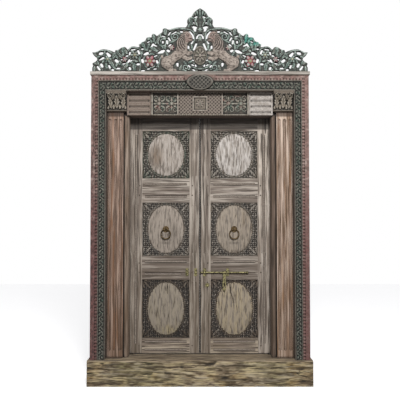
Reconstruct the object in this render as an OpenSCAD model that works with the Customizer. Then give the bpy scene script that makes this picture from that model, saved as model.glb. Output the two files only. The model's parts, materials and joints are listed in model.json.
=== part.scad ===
// Carved double door with its frame: threshold, carved surround, pierced crest and two panelled leaves.
// Millimetres. X runs along the doorway, Y away from the viewer and Z up.
// The origin is the middle of the threshold's foot.

/* [Doorway] */
// Clear width between the jambs
opening_w = 1170; // [1120:1:1240]
// Clear height from the threshold to the head beam
opening_h = 1975; // [1900:1:2050]

/* [Threshold] */
// Length of the threshold beam
threshold_w = 1800; // [1780:1:1860]
// Depth of the threshold beam, front to back
threshold_d = 340; // [330:1:400]
// Height of the threshold beam
threshold_h = 205; // [160:1:240]
// Rounding of its worn front edge
threshold_edge_r = 14; // [6:1:24]

/* [Jambs and head] */
// Depth of the jambs and the head beam
jamb_d = 160; // [150:1:175]
// Face width of a jamb
jamb_w = 178; // [170:1:200]
// Distance from the back of the frame to the back of the threshold
frame_setback = 40; // [20:1:60]
// Width of the rounded bead along a jamb's inner edge
bead_w = 43; // [36:1:48]
// Height of the head beam
head_h = 192; // [182:1:220]
// Width of a jamb's tenon
jamb_tenon_w = 70; // [50:1:90]
// Depth of the uprights' tenons, front to back
tenon_d = 60; // [40:1:80]
// Length of the uprights' tenons
tenon_l = 60; // [40:1:80]

/* [Pilasters and capitals] */
// Thickness of a pilaster board
pilaster_t = 30; // [24:1:36]
// Number of flutes in a pilaster
flute_n = 3; // [2:1:4]
// Radius of a flute's round section
flute_r = 14; // [11:0.5:15]
// Depth of a flute
flute_depth = 9; // [6:0.5:10]
// Plain length below and above the flutes
flute_margin = 70; // [50:1:110]
// Height of a capital
capital_h = 161; // [150:1:175]
// Width of a capital
capital_w = 160; // [150:1:166]
// How far a capital stands out from the jamb
capital_out = 118; // [100:1:120]

/* [Surround] */
// Face width of a surround post
post_w = 117; // [108:1:125]
// Depth of the surround posts and head
post_d = 240; // [230:1:250]
// Height of the surround head
surround_head_h = 125; // [118:1:135]
// Width of the carved band on a post
band_w = 60; // [56:1:64]
// Height of the carved band on the surround head
band_top_h = 80; // [76:1:84]
// Thickness of a carved band at its rims
band_t = 40; // [36:1:44]
// Thickness of a carved band at its ground
band_ground_t = 28; // [24:1:32]
// Spacing of the running leaves on the bands
band_pitch = 51; // [48:1:60]
// Thickness of a beaded moulding at its flat
moulding_t = 28; // [24:1:32]
// Spacing of the beads
moulding_pitch = 26; // [25:0.5:32]
// Radius of a bead
moulding_bead_r = 11; // [8:0.5:12]
// Thickness of the round boss at the top
boss_t = 14; // [10:1:18]

/* [Frieze] */
// Thickness of the frieze board
frieze_t = 45; // [38:1:52]
// Length of the reeded block at each end
frieze_block_w = 211; // [190:1:230]
// Depth of the carved ground
frieze_ground = 10; // [7:0.5:13]

/* [Crest] */
// Length of the crest rail
rail_w = 1776; // [1760:1:1790]
// Height of the crest rail
rail_h = 28; // [22:1:36]
// Depth of the crest rail, front to back
rail_d = 92; // [84:1:100]
// Height of the crest above its rail
crest_h = 525; // [490:1:560]
// Thickness of the pierced boards
crest_t = 34; // [28:1:40]
// Height of the raised carving on the pierced boards
crest_relief = 7; // [4:0.5:9]

/* [Leaves] */
// Thickness of the stiles and rails
leaf_t = 45; // [42:1:50]
// Distance from the leaf's back to the frame's back
leaf_inset = 10; // [6:1:16]
// Gap between the two leaves
meet_gap = 4; // [3:0.5:6]
// Gap under a leaf
leaf_gap_bottom = 10; // [6:1:14]
// Height by which a leaf rises behind the head beam
leaf_top_lap = 20; // [14:1:26]
// Width of a meeting stile
meeting_stile_w = 86; // [80:1:96]
// Width of a hinge stile from its inner edge to the pivot
hinge_stile_w = 102; // [96:1:112]
// Height of the bottom rail
bottom_rail_h = 125; // [110:1:140]
// Height of the rail above the lower panel
lower_rail_h = 196; // [184:1:210]
// Height of the rail above the middle panel
upper_rail_h = 202; // [184:1:216]
// Height of the top rail
top_rail_h = 127; // [110:1:140]
// Share of the panels' height that the lower panel takes
lower_panel_share = 0.364; // [0.35:0.001:0.378]
// Share of the panels' height that the middle panel takes
middle_panel_share = 0.3356; // [0.325:0.0001:0.346]
// Depth of the panels' carved ground below the face of the leaf
panel_ground = 14; // [11:0.5:16]
// Height of the raised ovals above that ground
oval_rise = 18; // [14:0.5:18.5]
// Width of the plain carved ground beside an oval
oval_margin_x = 44; // [38:1:52]
// Height of the carved ground above and below an oval
oval_margin_z = 21; // [17:1:26]
// Radius of the pegs
peg_r = 6; // [4:0.5:7]

/* [Pivots] */
// Radius of the wooden pintles
pintle_r = 18; // [14:0.5:19]
// Depth of the pintle sockets
socket_d = 60; // [40:1:80]

/* [Hardware] */
// Outer diameter of the ring pulls
ring_d = 88; // [80:1:96]
// Radius of the ring's wire
ring_wire_r = 4.5; // [3.5:0.25:5]
// Radius of the bolt bar
bolt_r = 6; // [5:0.25:7]
// Length of the bolt bar
bolt_l = 390; // [370:1:420]
// Distance from the leaf's face to the bar's axis
bolt_standoff = 16; // [15:0.5:20]
// Length of the hasp below the bar
hasp_l = 156; // [150:1:166]
// Width of the hasp
hasp_w = 28; // [26:1:30]
// Radius of the padlock hole
padlock_r = 6; // [5:0.25:7]

/* [Hidden] */
$fn = 48;
// Overrun of every cut, and depth by which raised work is let into its ground
over = 2;
sink = 3;
// Play of wooden joints, of pintles and of iron pins
fit = 0.2;
pintle_fit = 0.3;
pin_fit = 0.4;

// Depth planes, from the back of the frame to the front
back_y = threshold_d / 2 - frame_setback;
jamb_y = back_y - jamb_d;
post_y = back_y - post_d;
pilaster_y = jamb_y - pilaster_t;
band_y = post_y - band_t;
leaf_back = back_y - leaf_inset;
leaf_y = leaf_back - leaf_t;
leaf_mid = leaf_y + leaf_t / 2;
stop_gap = 2;
rebate_y = leaf_y - stop_gap;

// Widths
half_w = opening_w / 2;
jamb_x = half_w + jamb_w;
band_x = jamb_x + band_w;
post_x = jamb_x + post_w;
quirk = 2;
bead_r = bead_w / 2 - quirk;
pilaster_x0 = half_w + bead_w;
pilaster_margin = 3;
pilaster_x1 = jamb_x - pilaster_margin;
pilaster_w = pilaster_x1 - pilaster_x0;

// Heights
head_z = threshold_h + opening_h;
head_top = head_z + head_h;
band_z = head_top + band_top_h;
crest_z = head_top + surround_head_h;
rail_top = crest_z + rail_h;
pilaster_top = head_top - capital_h;
leaf_z0 = threshold_h + leaf_gap_bottom;
leaf_z1 = head_z + leaf_top_lap;
leaf_gap_top = 5;

// Pivots of the leaves
pivot_out = 1.5;
pivot_x = half_w + pivot_out;
heel_ease = 0.5;
heel_r = leaf_t / 2 - heel_ease;
heel_gap = 3.5;
rebate_w = pivot_out + heel_r + heel_gap;
seat_gap = 0.3;

// Tenons of the uprights
jamb_tenon_x = half_w + rebate_w + (jamb_w - rebate_w - jamb_tenon_w) / 2;
upright_tenon_y = jamb_y + (jamb_d - tenon_d) / 2;
post_tenon_w = 60;
post_tenon_x = jamb_x + (post_w - post_tenon_w) / 2;

// Rails and panels of a leaf, from the bottom up
panels_h = leaf_z1 - leaf_z0 - bottom_rail_h - lower_rail_h - upper_rail_h - top_rail_h;
lower_panel_h = round(lower_panel_share * panels_h);
middle_panel_h = round(middle_panel_share * panels_h);
lower_panel_z = leaf_z0 + bottom_rail_h;
lower_rail_z = lower_panel_z + lower_panel_h;
middle_panel_z = lower_rail_z + lower_rail_h;
upper_rail_z = middle_panel_z + middle_panel_h;
upper_panel_z = upper_rail_z + upper_rail_h;
top_rail_z = leaf_z1 - top_rail_h;
rail_spans = [[leaf_z0, lower_panel_z], [lower_rail_z, middle_panel_z],
              [upper_rail_z, upper_panel_z], [top_rail_z, leaf_z1]];
panel_spans = [[lower_panel_z, lower_rail_z], [middle_panel_z, upper_rail_z], [upper_panel_z, top_rail_z]];
meet_x = meet_gap / 2 + meeting_stile_w;
stile_x = pivot_x - hinge_stile_w;
rail_len = stile_x - meet_x;
panel_mid_x = (meet_x + stile_x) / 2;
tenon_t = 14;
rail_tenon_l = 46;
shoulder = 16;
tongue_t = 12;
tongue_l = 11;
panel_gap = 0.3;
ground_y = leaf_y + panel_ground;
panel_back = ground_y + oval_rise + panel_gap;

// Carving in the corners of a panel
corner_leaf_ls = [62, 92, 62];
corner_leaf_w = 24;
corner_turns = [14, 47, 78];
corner_inset = 9;
corner_leaf_h = 8;

// Grooves on the stiles and rails of a leaf
reed_r = 6;
reed_depth = 4;
reed_inset = 26;
stile_reed_shares = [0.36, 0.7];
rail_reed_shares = [[0.5], [0.28, 0.74], [0.28, 0.74], [0.34]];
peg_row_shares = [[0.5], [0.3, 0.7], [0.3, 0.7], [0.5]];
peg_proud = 1;

// Ring pulls
ring_r = ring_d / 2 - ring_wire_r;
ring_z = middle_panel_z + middle_panel_h / 2;
rose_r = 27;
rose_t = 5;
rose_cove_r = 3;
eye_t = 8;
eye_wall = 6;
eye_r = ring_wire_r + pin_fit + eye_wall;
dome_y = ground_y - oval_rise;
eye_y = dome_y - rose_t - eye_r;
shank_r = 5;
clinch_r = 13;
clinch_t = 3;

// Sliding bolt, drawn back so that its tip is just clear of the left leaf
bolt_y = leaf_y - bolt_standoff;
bolt_z_share = 0.31;
bolt_z = lower_rail_z + bolt_z_share * lower_rail_h;
bolt_tip_x = meet_gap;
bolt_nose_l = 3.6;
keeper_w = 9;
keeper_wall = 4;
loop_ease = 0.3;
keeper_plate_w = 24;
keeper_plate_h = 64;
keeper_plate_t = 3;
keeper_share = 0.42;
keeper_x = meet_gap / 2 + meeting_stile_w * keeper_share;
hasp_share = 0.51;
hasp_x = bolt_tip_x + bolt_l * hasp_share;
collar_t = 3;
collar_wall = 3.5;
collar_fit = 0.1;
collar_r = bolt_r + collar_wall;
hasp_eye_w = 24;
hasp_eye_r = bolt_r + pin_fit + collar_wall;
hasp_t = 4;
hasp_tip_l = 33.6;
hasp_tip_ease = 1;
keeper_room = 8;
far_keeper_x = hasp_x + hasp_eye_w / 2 + collar_t + keeper_w / 2 + keeper_room;
knob_r = 10;
staple_play = 2.5;
staple_share = 0.4;
staple_xs = [meet_gap / 2 + meeting_stile_w * staple_share, meet_x + keeper_plate_w / 2 + keeper_room];
slot_w = 11;
slot_h = 42;
slot_drop = 108;
padlock_share = 0.68;
staple_x = meet_gap / 2 + meeting_stile_w * padlock_share;
padlock_t = 6;
padlock_wall = 5;
padlock_z = bolt_z - slot_drop;
padlock_room = 3;
padlock_y = bolt_y - hasp_t / 2 - padlock_r - padlock_room;
padlock_plate_r = 17;

// Carving on the bands
rim_w = 7;
band_leaf_l = 50;
band_leaf_w = 17;
band_bud_l = 30;
band_bud_w = 11;
band_leaf_h = 9;
band_leaf_share = 0.083;
band_bud_shares = [0.333, 0.111];
band_start_share = 0.44;
band_mitre = band_top_h / band_w;
moulding_w = post_w - band_w;
moulding_top_h = surround_head_h - band_top_h;
moulding_mitre = moulding_top_h / moulding_w;
moulding_rim_w = 9;
moulding_rim_t = 36;

// Boss in the middle of the top band
boss_r = surround_head_h;
boss_rim = 12;
boss_relief = 6;
boss_petals = 9;
boss_petal_l = 88;
boss_petal_w = 24;
boss_hub_r = 26;

// Frieze
frieze_y = jamb_y - frieze_t;
frieze_gap = 2;
frieze_z = head_z + frieze_gap;
capital_x0 = pilaster_x1 - capital_w;
frieze_half = capital_x0 - frieze_gap;
frieze_field = frieze_half - frieze_block_w;
fillet_w = 12;
fillet_t = 6;
block_groove_n = 4;
block_groove_r = 11;
block_groove_depth = 6;
block_groove_inset = 16;
frieze_unit_n = 6;
frieze_leaf_l = 66;
frieze_leaf_w = 24;
frieze_bud_l = 48;
frieze_bead_r = 17;
frieze_leaf_start = 11;
frieze_leaf_h = 12;
frieze_leaf_turns = [38, 142, 218, 322];

// Capital
abacus_h = 26;
astragal_r = 13;
cove_leaf_t = 9;
cove_leaf_n = 3;
cove_leaf_w = 50;
cove_leaf_l = 118;
cove_r = capital_h - abacus_h - 2 * astragal_r;
capital_foot = 46;

// Crest
rail_lip = 12;
rail_y = band_y - rail_lip;
rail_edge_r = 9;
rail_inset = 4;
crest_half = rail_w / 2 - rail_inset;
design_half = 884;
design_h = 525;
crest_stretch = [crest_half / design_half, crest_h / design_h];
crest_setback = 10;
crest_back = band_y + crest_setback + crest_t;
crest_front = crest_back - crest_t;
crest_joint_share = 0.578;
crest_blend = 2;
stem_w = 27;
stem_tip_w = 18;
stem_steps = 3;
scroll_w = 15;
scroll_tip_w = 11;
scroll_steps = 18;
scroll_wind_share = 0.72;
scroll_eye_share = 0.42;
leaf_relief_shares = [0.84, 0.66];
flower_dome_share = 0.42;
petal_shares = [0.62, 0.38];

// Places on the crest: shares of its half length, out from the middle, and of its height, up from the rail
arch_shares = [[0.555, -0.03], [0.555, 0.16], [0.543, 0.28], [0.516, 0.39], [0.461, 0.48], [0.397, 0.555],
               [0.324, 0.625], [0.259, 0.665], [0.186, 0.685], [0.122, 0.67], [0.076, 0.625],
               [0.053, 0.547], [0.058, 0.47], [0.085, 0.39], [0.108, 0.31]];
saddle_shares = [[0.15, 0.685], [0.07, 0.675], [0, 0.685], [-0.07, 0.675]];
cup_shares = [[0.13, 0.2], [0.095, 0.15], [0.05, 0.065], [0, 0.045], [-0.05, 0.065]];
back_stem_shares = [[0.36, -0.03], [0.375, 0.12], [0.352, 0.24], [0.318, 0.32], [0.268, 0.38],
                    [0.235, 0.49]];
side_stem_shares = [[0.47, 0.27], [0.452, 0.34], [0.41, 0.4], [0.37, 0.42]];
column_shares = [[0, 0.02], [0, 0.3], [0, 0.5], [0, 0.69]];
// Volutes: middle, outer radius as a share of the half length, start angle and turns
volute_shares = [[0.351, 0.455, 0.056], [0.2365, 0.555, 0.047], [0.149, 0.075, 0.044]];
volute_turns = [[60, 1.5], [80, 1.5], [200, -1.4]];
flower_ring_shares = [0.438, 0.158, 0.086];
// Flowers: middle and radius
flower_shares = [[0.324, 0.64, 0.034], [0.2686, 0.375, 0.036], [0.3236, 0.3, 0.026], [0.438, 0.158, 0.046]];
// Leaves: middle, length and width as shares of the half length, and angle from the horizontal
center_leaf_shares = [[0.538, 0.42, 0.075, 0.03], [0.522, 0.47, 0.07, 0.03], [0.486, 0.53, 0.075, 0.03],
                      [0.445, 0.565, 0.06, 0.026], [0.405, 0.6, 0.055, 0.024], [0.43, 0.36, 0.08, 0.034],
                      [0.455, 0.4, 0.07, 0.03], [0.505, 0.16, 0.09, 0.03], [0.438, 0.05, 0.03, 0.09],
                      [0.3, 0.5, 0.075, 0.028], [0.2, 0.61, 0.06, 0.026], [0.1, 0.1, 0.07, 0.026],
                      [0.165, 0.025, 0.08, 0.028]];
center_leaf_turns = [20, 60, 75, 95, 110, 40, 100, 10, 0, 120, 100, 120, 15];
// Leaf behind the lion's haunch, left flat
haunch_leaf_shares = [[0.375, 0.16, 0.08, 0.03]];
haunch_leaf_turns = [-20];
medallion_rise = 14;
medallion_share = 0.25;
medallion_shares = [0.062, 0.148];
bud_shares = [0.515, 0.042, 0.07];
knob_shares = [0.68, 0.028];

end_ring_shares = [0.888, 0.225, 0.082];
loop_ring_shares = [0.6214, 0.3, 0.05];
wing_stem_a_shares = [[0.578, 0.3], [0.63, 0.2], [0.69, 0.1], [0.77, 0.02], [0.81, -0.04]];
wing_stem_b_shares = [[0.82, 0.29], [0.775, 0.21], [0.72, 0.12], [0.66, 0.03], [0.64, -0.04]];
wing_stem_c_shares = [[0.575, 0.1], [0.605, 0.12], [0.635, 0.08], [0.648, -0.03]];
end_foot_shares = [[0.978, -0.03], [0.985, 0.06], [0.965, 0.15]];
end_post_shares = [[0.875, -0.03], [0.88, 0.08], [0.885, 0.2]];
wing_flower_shares = [[0.7, 0.195, 0.036], [0.6214, 0.3, 0.032], [0.888, 0.225, 0.045]];
wing_leaf_shares = [[0.97, 0.31, 0.05, 0.024], [0.905, 0.375, 0.06, 0.024], [0.86, 0.37, 0.06, 0.024],
                    [0.765, 0.31, 0.085, 0.03], [0.735, 0.335, 0.09, 0.032], [0.7, 0.32, 0.09, 0.032],
                    [0.675, 0.28, 0.07, 0.028], [0.838, 0.1, 0.09, 0.03], [0.92, 0.1, 0.09, 0.03],
                    [0.588, 0.2, 0.08, 0.028], [0.65, 0.2, 0.06, 0.026], [0.748, 0.24, 0.06, 0.026],
                    [0.888, 0.225, 0.16, 0.026], [0.6214, 0.3, 0.095, 0.02], [0.7, 0.19, 0.14, 0.03]];
wing_leaf_turns = [150, 70, 110, 150, 110, 75, 35, 130, 50, 100, 120, 60, 90, 0, 90];
wing_foot_shares = [[0.838, 0.03, 0.1, 0.03], [0.93, 0.03, 0.09, 0.03], [0.7, 0.03, 0.09, 0.028]];
wing_foot_turns = [60, 120, 90];

// Lion: limbs from one round end to the other, each end a place and a radius share of the half length
lion_limb_shares = [
  [[0.124, 0.548, 0.048], [0.112, 0.53, 0.042]], [[0.106, 0.512, 0.03], [0.08, 0.5, 0.021]],
  [[0.14, 0.52, 0.05], [0.168, 0.44, 0.052]], [[0.165, 0.42, 0.05], [0.172, 0.32, 0.056]],
  [[0.18, 0.3, 0.05], [0.25, 0.205, 0.042]], [[0.25, 0.205, 0.044], [0.302, 0.14, 0.062]],
  [[0.302, 0.12, 0.058], [0.27, 0.025, 0.026]], [[0.27, 0.02, 0.024], [0.232, 0.015, 0.018]],
  [[0.16, 0.32, 0.034], [0.11, 0.28, 0.022]], [[0.11, 0.28, 0.022], [0.084, 0.295, 0.018]],
  [[0.165, 0.26, 0.032], [0.12, 0.2, 0.02]], [[0.12, 0.2, 0.02], [0.085, 0.215, 0.016]],
  [[0.33, 0.17, 0.024], [0.352, 0.235, 0.014]], [[0.146, 0.6, 0.02], [0.152, 0.628, 0.009]]];
lion_depth_share = 0.52;
lion_edge = 4;

// Finial: places as shares of the crest's half length and height
finial_foot_share = 0.705;
finial_stem_shares = [0.018, 0.9];
finial_lobe_shares = [[0.085, 0.79, 0.043], [0.046, 0.865, 0.026]];
finial_arm_shares = [[0.012, 0.72], [0.05, 0.735], [0.082, 0.77]];
finial_petal_shares = [[0, 0.945, 0.0735, 0.036], [0.03, 0.925, 0.079, 0.034], [0.048, 0.905, 0.063, 0.03]];
finial_dome_share = 0.63;
finial_petal_turns = [90, 60, 30];

// Helpers

// Block between two corners
module box(low, high) {
  translate(low) cube(high - low);
}

// The right-hand piece, or its mirror image on the left
module side(s) {
  mirror([s < 0 ? 1 : 0, 0, 0]) children();
}

// Stands a flat drawing up, so that it grows toward the viewer from depth y
module front(y) {
  translate([0, y, 0]) rotate([90, 0, 0]) children();
}

// Bar along X whose section is drawn in depth and height
module along_x(length) {
  translate([-length / 2, 0, 0]) rotate([90, 0, 90]) linear_extrude(length) children();
}

// Round rod along X
module rod_x(x0, x1, y, z, r) {
  translate([x0, y, z]) rotate([0, 90, 0]) cylinder(r = r, h = x1 - x0);
}

// Section with its upper front corner rounded
module eased_section(depth, height, r) {
  translate([r, 0]) square([depth - r, height]);
  square([depth, height - r]);
  translate([r, height - r]) circle(r);
}

// Pointed leaf between two arcs, lying along X
module leaf(l, w) {
  r = (l * l + w * w) / (4 * w);
  intersection() {
    translate([0, r - w / 2]) circle(r);
    translate([0, w / 2 - r]) circle(r);
  }
}

// Round-ended upright groove tool
module reed_up(x, y, z0, z1, r) {
  translate([x, y, z0]) cylinder(r = r, h = z1 - z0);
  translate([x, y, z0]) sphere(r);
  translate([x, y, z1]) sphere(r);
}

// Round-ended level groove tool
module reed_level(x0, x1, y, z, r) {
  rod_x(x0, x1, y, z, r);
  translate([x0, y, z]) sphere(r);
  translate([x1, y, z]) sphere(r);
}

// Frame

module jamb_tenon(play) {
  box([jamb_tenon_x - play, upright_tenon_y - play, threshold_h - tenon_l - play],
      [jamb_tenon_x + jamb_tenon_w + play, upright_tenon_y + tenon_d + play, head_z + tenon_l + play]);
}

module post_tenon(play) {
  box([post_tenon_x - play, upright_tenon_y - play, threshold_h - tenon_l - play],
      [post_tenon_x + post_tenon_w + play, upright_tenon_y + tenon_d + play, threshold_h + over]);
}

module threshold() color("#7a6a4c") difference() {
  translate([0, -threshold_d / 2, 0]) along_x(threshold_w)
    eased_section(threshold_d, threshold_h, threshold_edge_r);
  for (s = [-1, 1]) side(s) {
    jamb_tenon(fit);
    post_tenon(fit);
    translate([pivot_x, leaf_mid, threshold_h - socket_d])
      cylinder(r = pintle_r + pintle_fit, h = socket_d + over);
  }
}

module jamb(s) color("#8d7a6c") side(s) difference() {
  union() {
    box([half_w, jamb_y, threshold_h], [jamb_x, back_y, head_z]);
    translate([half_w + bead_w / 2, jamb_y, threshold_h]) cylinder(r = bead_r, h = opening_h);
    jamb_tenon(0);
  }
  box([half_w - over, rebate_y, threshold_h - over], [half_w + rebate_w, back_y + over, head_z + over]);
}

module head_beam() color("#6e625a") difference() {
  box([-jamb_x, jamb_y, head_z], [jamb_x, back_y, head_top]);
  box([-half_w - rebate_w, rebate_y, head_z - over],
      [half_w + rebate_w, back_y + over, leaf_z1 + leaf_gap_top]);
  for (s = [-1, 1]) side(s) {
    jamb_tenon(fit);
    translate([pivot_x, leaf_mid, head_z])
      cylinder(r = pintle_r + pintle_fit, h = leaf_top_lap + socket_d);
  }
}

module pilaster(s) color("#8a7364") side(s) difference() {
  box([pilaster_x0, pilaster_y, threshold_h], [pilaster_x1, jamb_y, pilaster_top]);
  for (i = [0 : flute_n - 1])
    reed_up(pilaster_x0 + pilaster_w * (i + 0.5) / flute_n, pilaster_y - flute_r + flute_depth,
            threshold_h + flute_margin, pilaster_top - flute_margin, flute_r);
}

// Solid between the capital's back and its cove, grown toward the viewer by a thickness
module cove_body(grow) {
  difference() {
    box([capital_x0, jamb_y - capital_out, pilaster_top], [pilaster_x1, jamb_y, head_top - abacus_h / 2]);
    translate([capital_x0 - over, jamb_y - capital_foot - cove_r, pilaster_top + 2 * astragal_r])
      rotate([0, 90, 0]) cylinder(r = cove_r - grow, h = capital_w + 2 * over);
    box([capital_x0 - over, jamb_y - capital_out - over, pilaster_top - over],
        [pilaster_x1 + over, jamb_y - capital_foot - grow, pilaster_top + 2 * astragal_r]);
  }
}

module capital(s) color("#7d7a6a") side(s) {
  cove_body(0);
  box([capital_x0, jamb_y - capital_out, head_top - abacus_h], [pilaster_x1, jamb_y, head_top]);
  rod_x(capital_x0, pilaster_x1, jamb_y - capital_foot, pilaster_top + astragal_r, astragal_r);
  for (i = [0 : cove_leaf_n - 1])
    intersection() {
      cove_body(cove_leaf_t);
      front(jamb_y) linear_extrude(capital_out)
        translate([capital_x0 + capital_w * (i + 0.5) / cove_leaf_n,
                   pilaster_top + astragal_r + cove_leaf_l / 2])
          rotate(90) leaf(cove_leaf_l, cove_leaf_w);
    }
}

module surround_post(s) color("#7b6258") side(s) {
  box([jamb_x, post_y, threshold_h], [post_x, back_y, head_top]);
  post_tenon(0);
}

module surround_head() color("#7b6258")
  box([-post_x, post_y, head_top], [post_x, back_y, crest_z]);

// Upright strip of the surround, x0 to x1 outward from its inner edge, cut to the mitre at the top
module upright_strip(inner_x, x0, x1, inner_top, mitre, thickness) {
  front(post_y) linear_extrude(thickness)
    polygon([[inner_x + x0, threshold_h], [inner_x + x1, threshold_h],
             [inner_x + x1, inner_top + x1 * mitre], [inner_x + x0, inner_top + x0 * mitre]]);
}

// Level strip of the surround, z0 to z1 up from its lower edge, mitred at both ends
module level_strip(inner_x, z0, z1, low_z, mitre, thickness) {
  front(post_y) linear_extrude(thickness)
    polygon([[-inner_x - z0 / mitre, low_z + z0], [inner_x + z0 / mitre, low_z + z0],
             [inner_x + z1 / mitre, low_z + z1], [-inner_x - z1 / mitre, low_z + z1]]);
}

// One repeat of the running leaf, drawn along X
module running_leaf() {
  front(post_y - band_ground_t + sink) linear_extrude(band_leaf_h + sink) {
    translate([0, -band_leaf_share * band_w]) rotate(32) leaf(band_leaf_l, band_leaf_w);
    translate([band_bud_shares[0] * band_pitch, band_bud_shares[1] * band_w]) rotate(-42)
      leaf(band_bud_l, band_bud_w);
  }
}

module side_band(s) color("#4b524b") side(s) {
  run = head_top - threshold_h;
  n = floor(run / band_pitch);
  upright_strip(jamb_x, 0, band_w, head_top, band_mitre, band_ground_t);
  upright_strip(jamb_x, 0, rim_w, head_top, band_mitre, band_t);
  upright_strip(jamb_x, band_w - rim_w, band_w, head_top, band_mitre, band_t);
  for (i = [0 : n - 1])
    translate([jamb_x + band_w / 2, 0, threshold_h + run * (i + band_start_share) / n])
      rotate([0, -90, 0]) running_leaf();
}

module top_band() color("#4b524b") {
  run = jamb_x - boss_r - band_pitch / 2;
  n = floor(run / band_pitch);
  level_strip(jamb_x, 0, band_top_h, head_top, band_mitre, band_ground_t);
  level_strip(jamb_x, 0, rim_w, head_top, band_mitre, band_t);
  level_strip(jamb_x, band_top_h - rim_w, band_top_h, head_top, band_mitre, band_t);
  for (s = [-1, 1], i = [0 : n - 1])
    side(s) translate([boss_r + band_pitch / 2 + run * (i + band_start_share) / n, 0,
                       head_top + band_top_h / 2]) running_leaf();
}

module moulding_bead(x, z) {
  translate([x, post_y - moulding_t, z]) sphere(moulding_bead_r);
}

module side_moulding(s) color("#96726a") side(s) {
  run = band_z - threshold_h;
  n = floor(run / moulding_pitch);
  upright_strip(band_x, 0, moulding_w, band_z, moulding_mitre, moulding_t);
  upright_strip(band_x, 0, moulding_rim_w, band_z, moulding_mitre, moulding_rim_t);
  upright_strip(band_x, moulding_w - moulding_rim_w, moulding_w, band_z, moulding_mitre, moulding_rim_t);
  for (i = [0 : n - 1])
    moulding_bead(band_x + moulding_w / 2, threshold_h + run * (i + 0.5) / n);
}

module top_moulding() color("#96726a") {
  run = band_x - boss_r;
  n = floor(run / moulding_pitch);
  level_strip(band_x, 0, moulding_top_h, band_z, moulding_mitre, moulding_t);
  level_strip(band_x, 0, moulding_rim_w, band_z, moulding_mitre, moulding_rim_t);
  level_strip(band_x, moulding_top_h - moulding_rim_w, moulding_top_h, band_z, moulding_mitre,
              moulding_rim_t);
  for (s = [-1, 1], i = [0 : n - 1])
    side(s) moulding_bead(boss_r + run * (i + 0.5) / n, band_z + moulding_top_h / 2);
}

// Half-round boss with fanned petals, hung from the crest rail's line
module top_boss() color("#5c5a50") {
  front(band_y) linear_extrude(boss_t) intersection() {
    translate([0, crest_z]) circle(boss_r);
    translate([-boss_r, head_top]) square([2 * boss_r, surround_head_h]);
  }
  front(band_y - boss_t + sink) linear_extrude(boss_relief + sink) intersection() {
    translate([-boss_r, head_top]) square([2 * boss_r, surround_head_h]);
    union() {
      for (i = [0 : boss_petals - 1])
        translate([0, crest_z]) rotate(180 + 180 * (i + 0.5) / boss_petals)
          translate([boss_r - boss_rim - boss_petal_l / 2, 0]) leaf(boss_petal_l, boss_petal_w);
      translate([0, crest_z]) circle(boss_hub_r);
    }
  }
}

module frieze_board() color("#77705f") {
  field_y = frieze_y + frieze_ground;
  mid_z = (frieze_z + head_top) / 2;
  unit = 2 * frieze_field / frieze_unit_n;
  difference() {
    box([-frieze_half, frieze_y, frieze_z], [frieze_half, jamb_y, head_top]);
    box([-frieze_field, frieze_y - over, frieze_z + rim_w], [frieze_field, field_y, head_top - rim_w]);
    for (s = [-1, 1], i = [0 : block_groove_n - 1])
      side(s) reed_level(frieze_field + fillet_w + block_groove_inset, frieze_half - block_groove_inset,
                         frieze_y - block_groove_r + block_groove_depth,
                         frieze_z + (head_top - frieze_z) * (i + 0.5) / block_groove_n, block_groove_r);
  }
  for (s = [-1, 1])
    side(s) box([frieze_field, frieze_y - fillet_t, frieze_z],
                [frieze_field + fillet_w, frieze_y + over, head_top]);
  for (i = [0 : frieze_unit_n - 1])
    translate([unit * (i + 0.5) - frieze_field, 0, mid_z]) {
      translate([0, field_y, 0]) sphere(frieze_bead_r);
      front(field_y + sink) linear_extrude(frieze_leaf_h + sink) {
        for (a = frieze_leaf_turns)
          rotate(a) translate([frieze_leaf_start + frieze_leaf_l / 2, 0]) leaf(frieze_leaf_l, frieze_leaf_w);
        for (a = [90, 270])
          rotate(a) translate([frieze_leaf_start + frieze_bud_l / 2, 0]) leaf(frieze_bud_l, frieze_leaf_w);
      }
    }
}

// Crest

module crest_rail() color("#b5aca0")
  translate([0, rail_y, crest_z]) along_x(rail_w) eased_section(rail_d, rail_h, rail_edge_r);

// Stretches what is drawn at the design's size to the crest's length and height
module fitted() {
  translate([0, 0, rail_top]) scale([crest_stretch[0], 1, crest_stretch[1]]) children();
}

// A place on the crest's design from its shares
function crest_at(p) = [p[0] * design_half, p[1] * design_h];
function blend_at(a, b, c, d, t) =
  ((b * 2) + (c - a) * t + (a * 2 - b * 5 + c * 4 - d) * t * t + (b * 3 - a - c * 3 + d) * t * t * t) / 2;
function smooth(p, n) = [
  for (i = [0 : len(p) - 2], k = [0 : n - 1])
    blend_at(p[max(i - 1, 0)], p[i], p[i + 1], p[min(i + 2, len(p) - 1)], k / n),
  p[len(p) - 1]];
function normal_at(q, i) =
  let (d = q[min(i + 1, len(q) - 1)] - q[max(i - 1, 0)]) [-d[1], d[0]] / norm(d);

// Band of changing width along a row of points, with round ends
module ribbon(q, w0, w1) {
  last = len(q) - 1;
  function half(i) = normal_at(q, i) * (w0 + (w1 - w0) * i / last) / 2;
  for (i = [0 : last - 1])
    polygon([q[i] + half(i), q[i + 1] + half(i + 1), q[i + 1] - half(i + 1), q[i] - half(i)]);
  translate(q[0]) circle(w0 / 2);
  translate(q[last]) circle(w1 / 2);
}

module stem(shares, w0, w1) {
  ribbon(smooth([for (p = shares) crest_at(p)], stem_steps), w0, w1);
}

module volute(shares, turn) {
  mid = crest_at(shares);
  r = shares[2] * design_half;
  ribbon([for (k = [0 : scroll_steps])
            let (a = turn[0] - turn[1] * 360 * k / scroll_steps)
              mid + r * (1 - scroll_wind_share * k / scroll_steps) * [cos(a), sin(a)]],
         scroll_w, scroll_tip_w);
  translate(mid) circle(r * scroll_eye_share);
}

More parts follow.
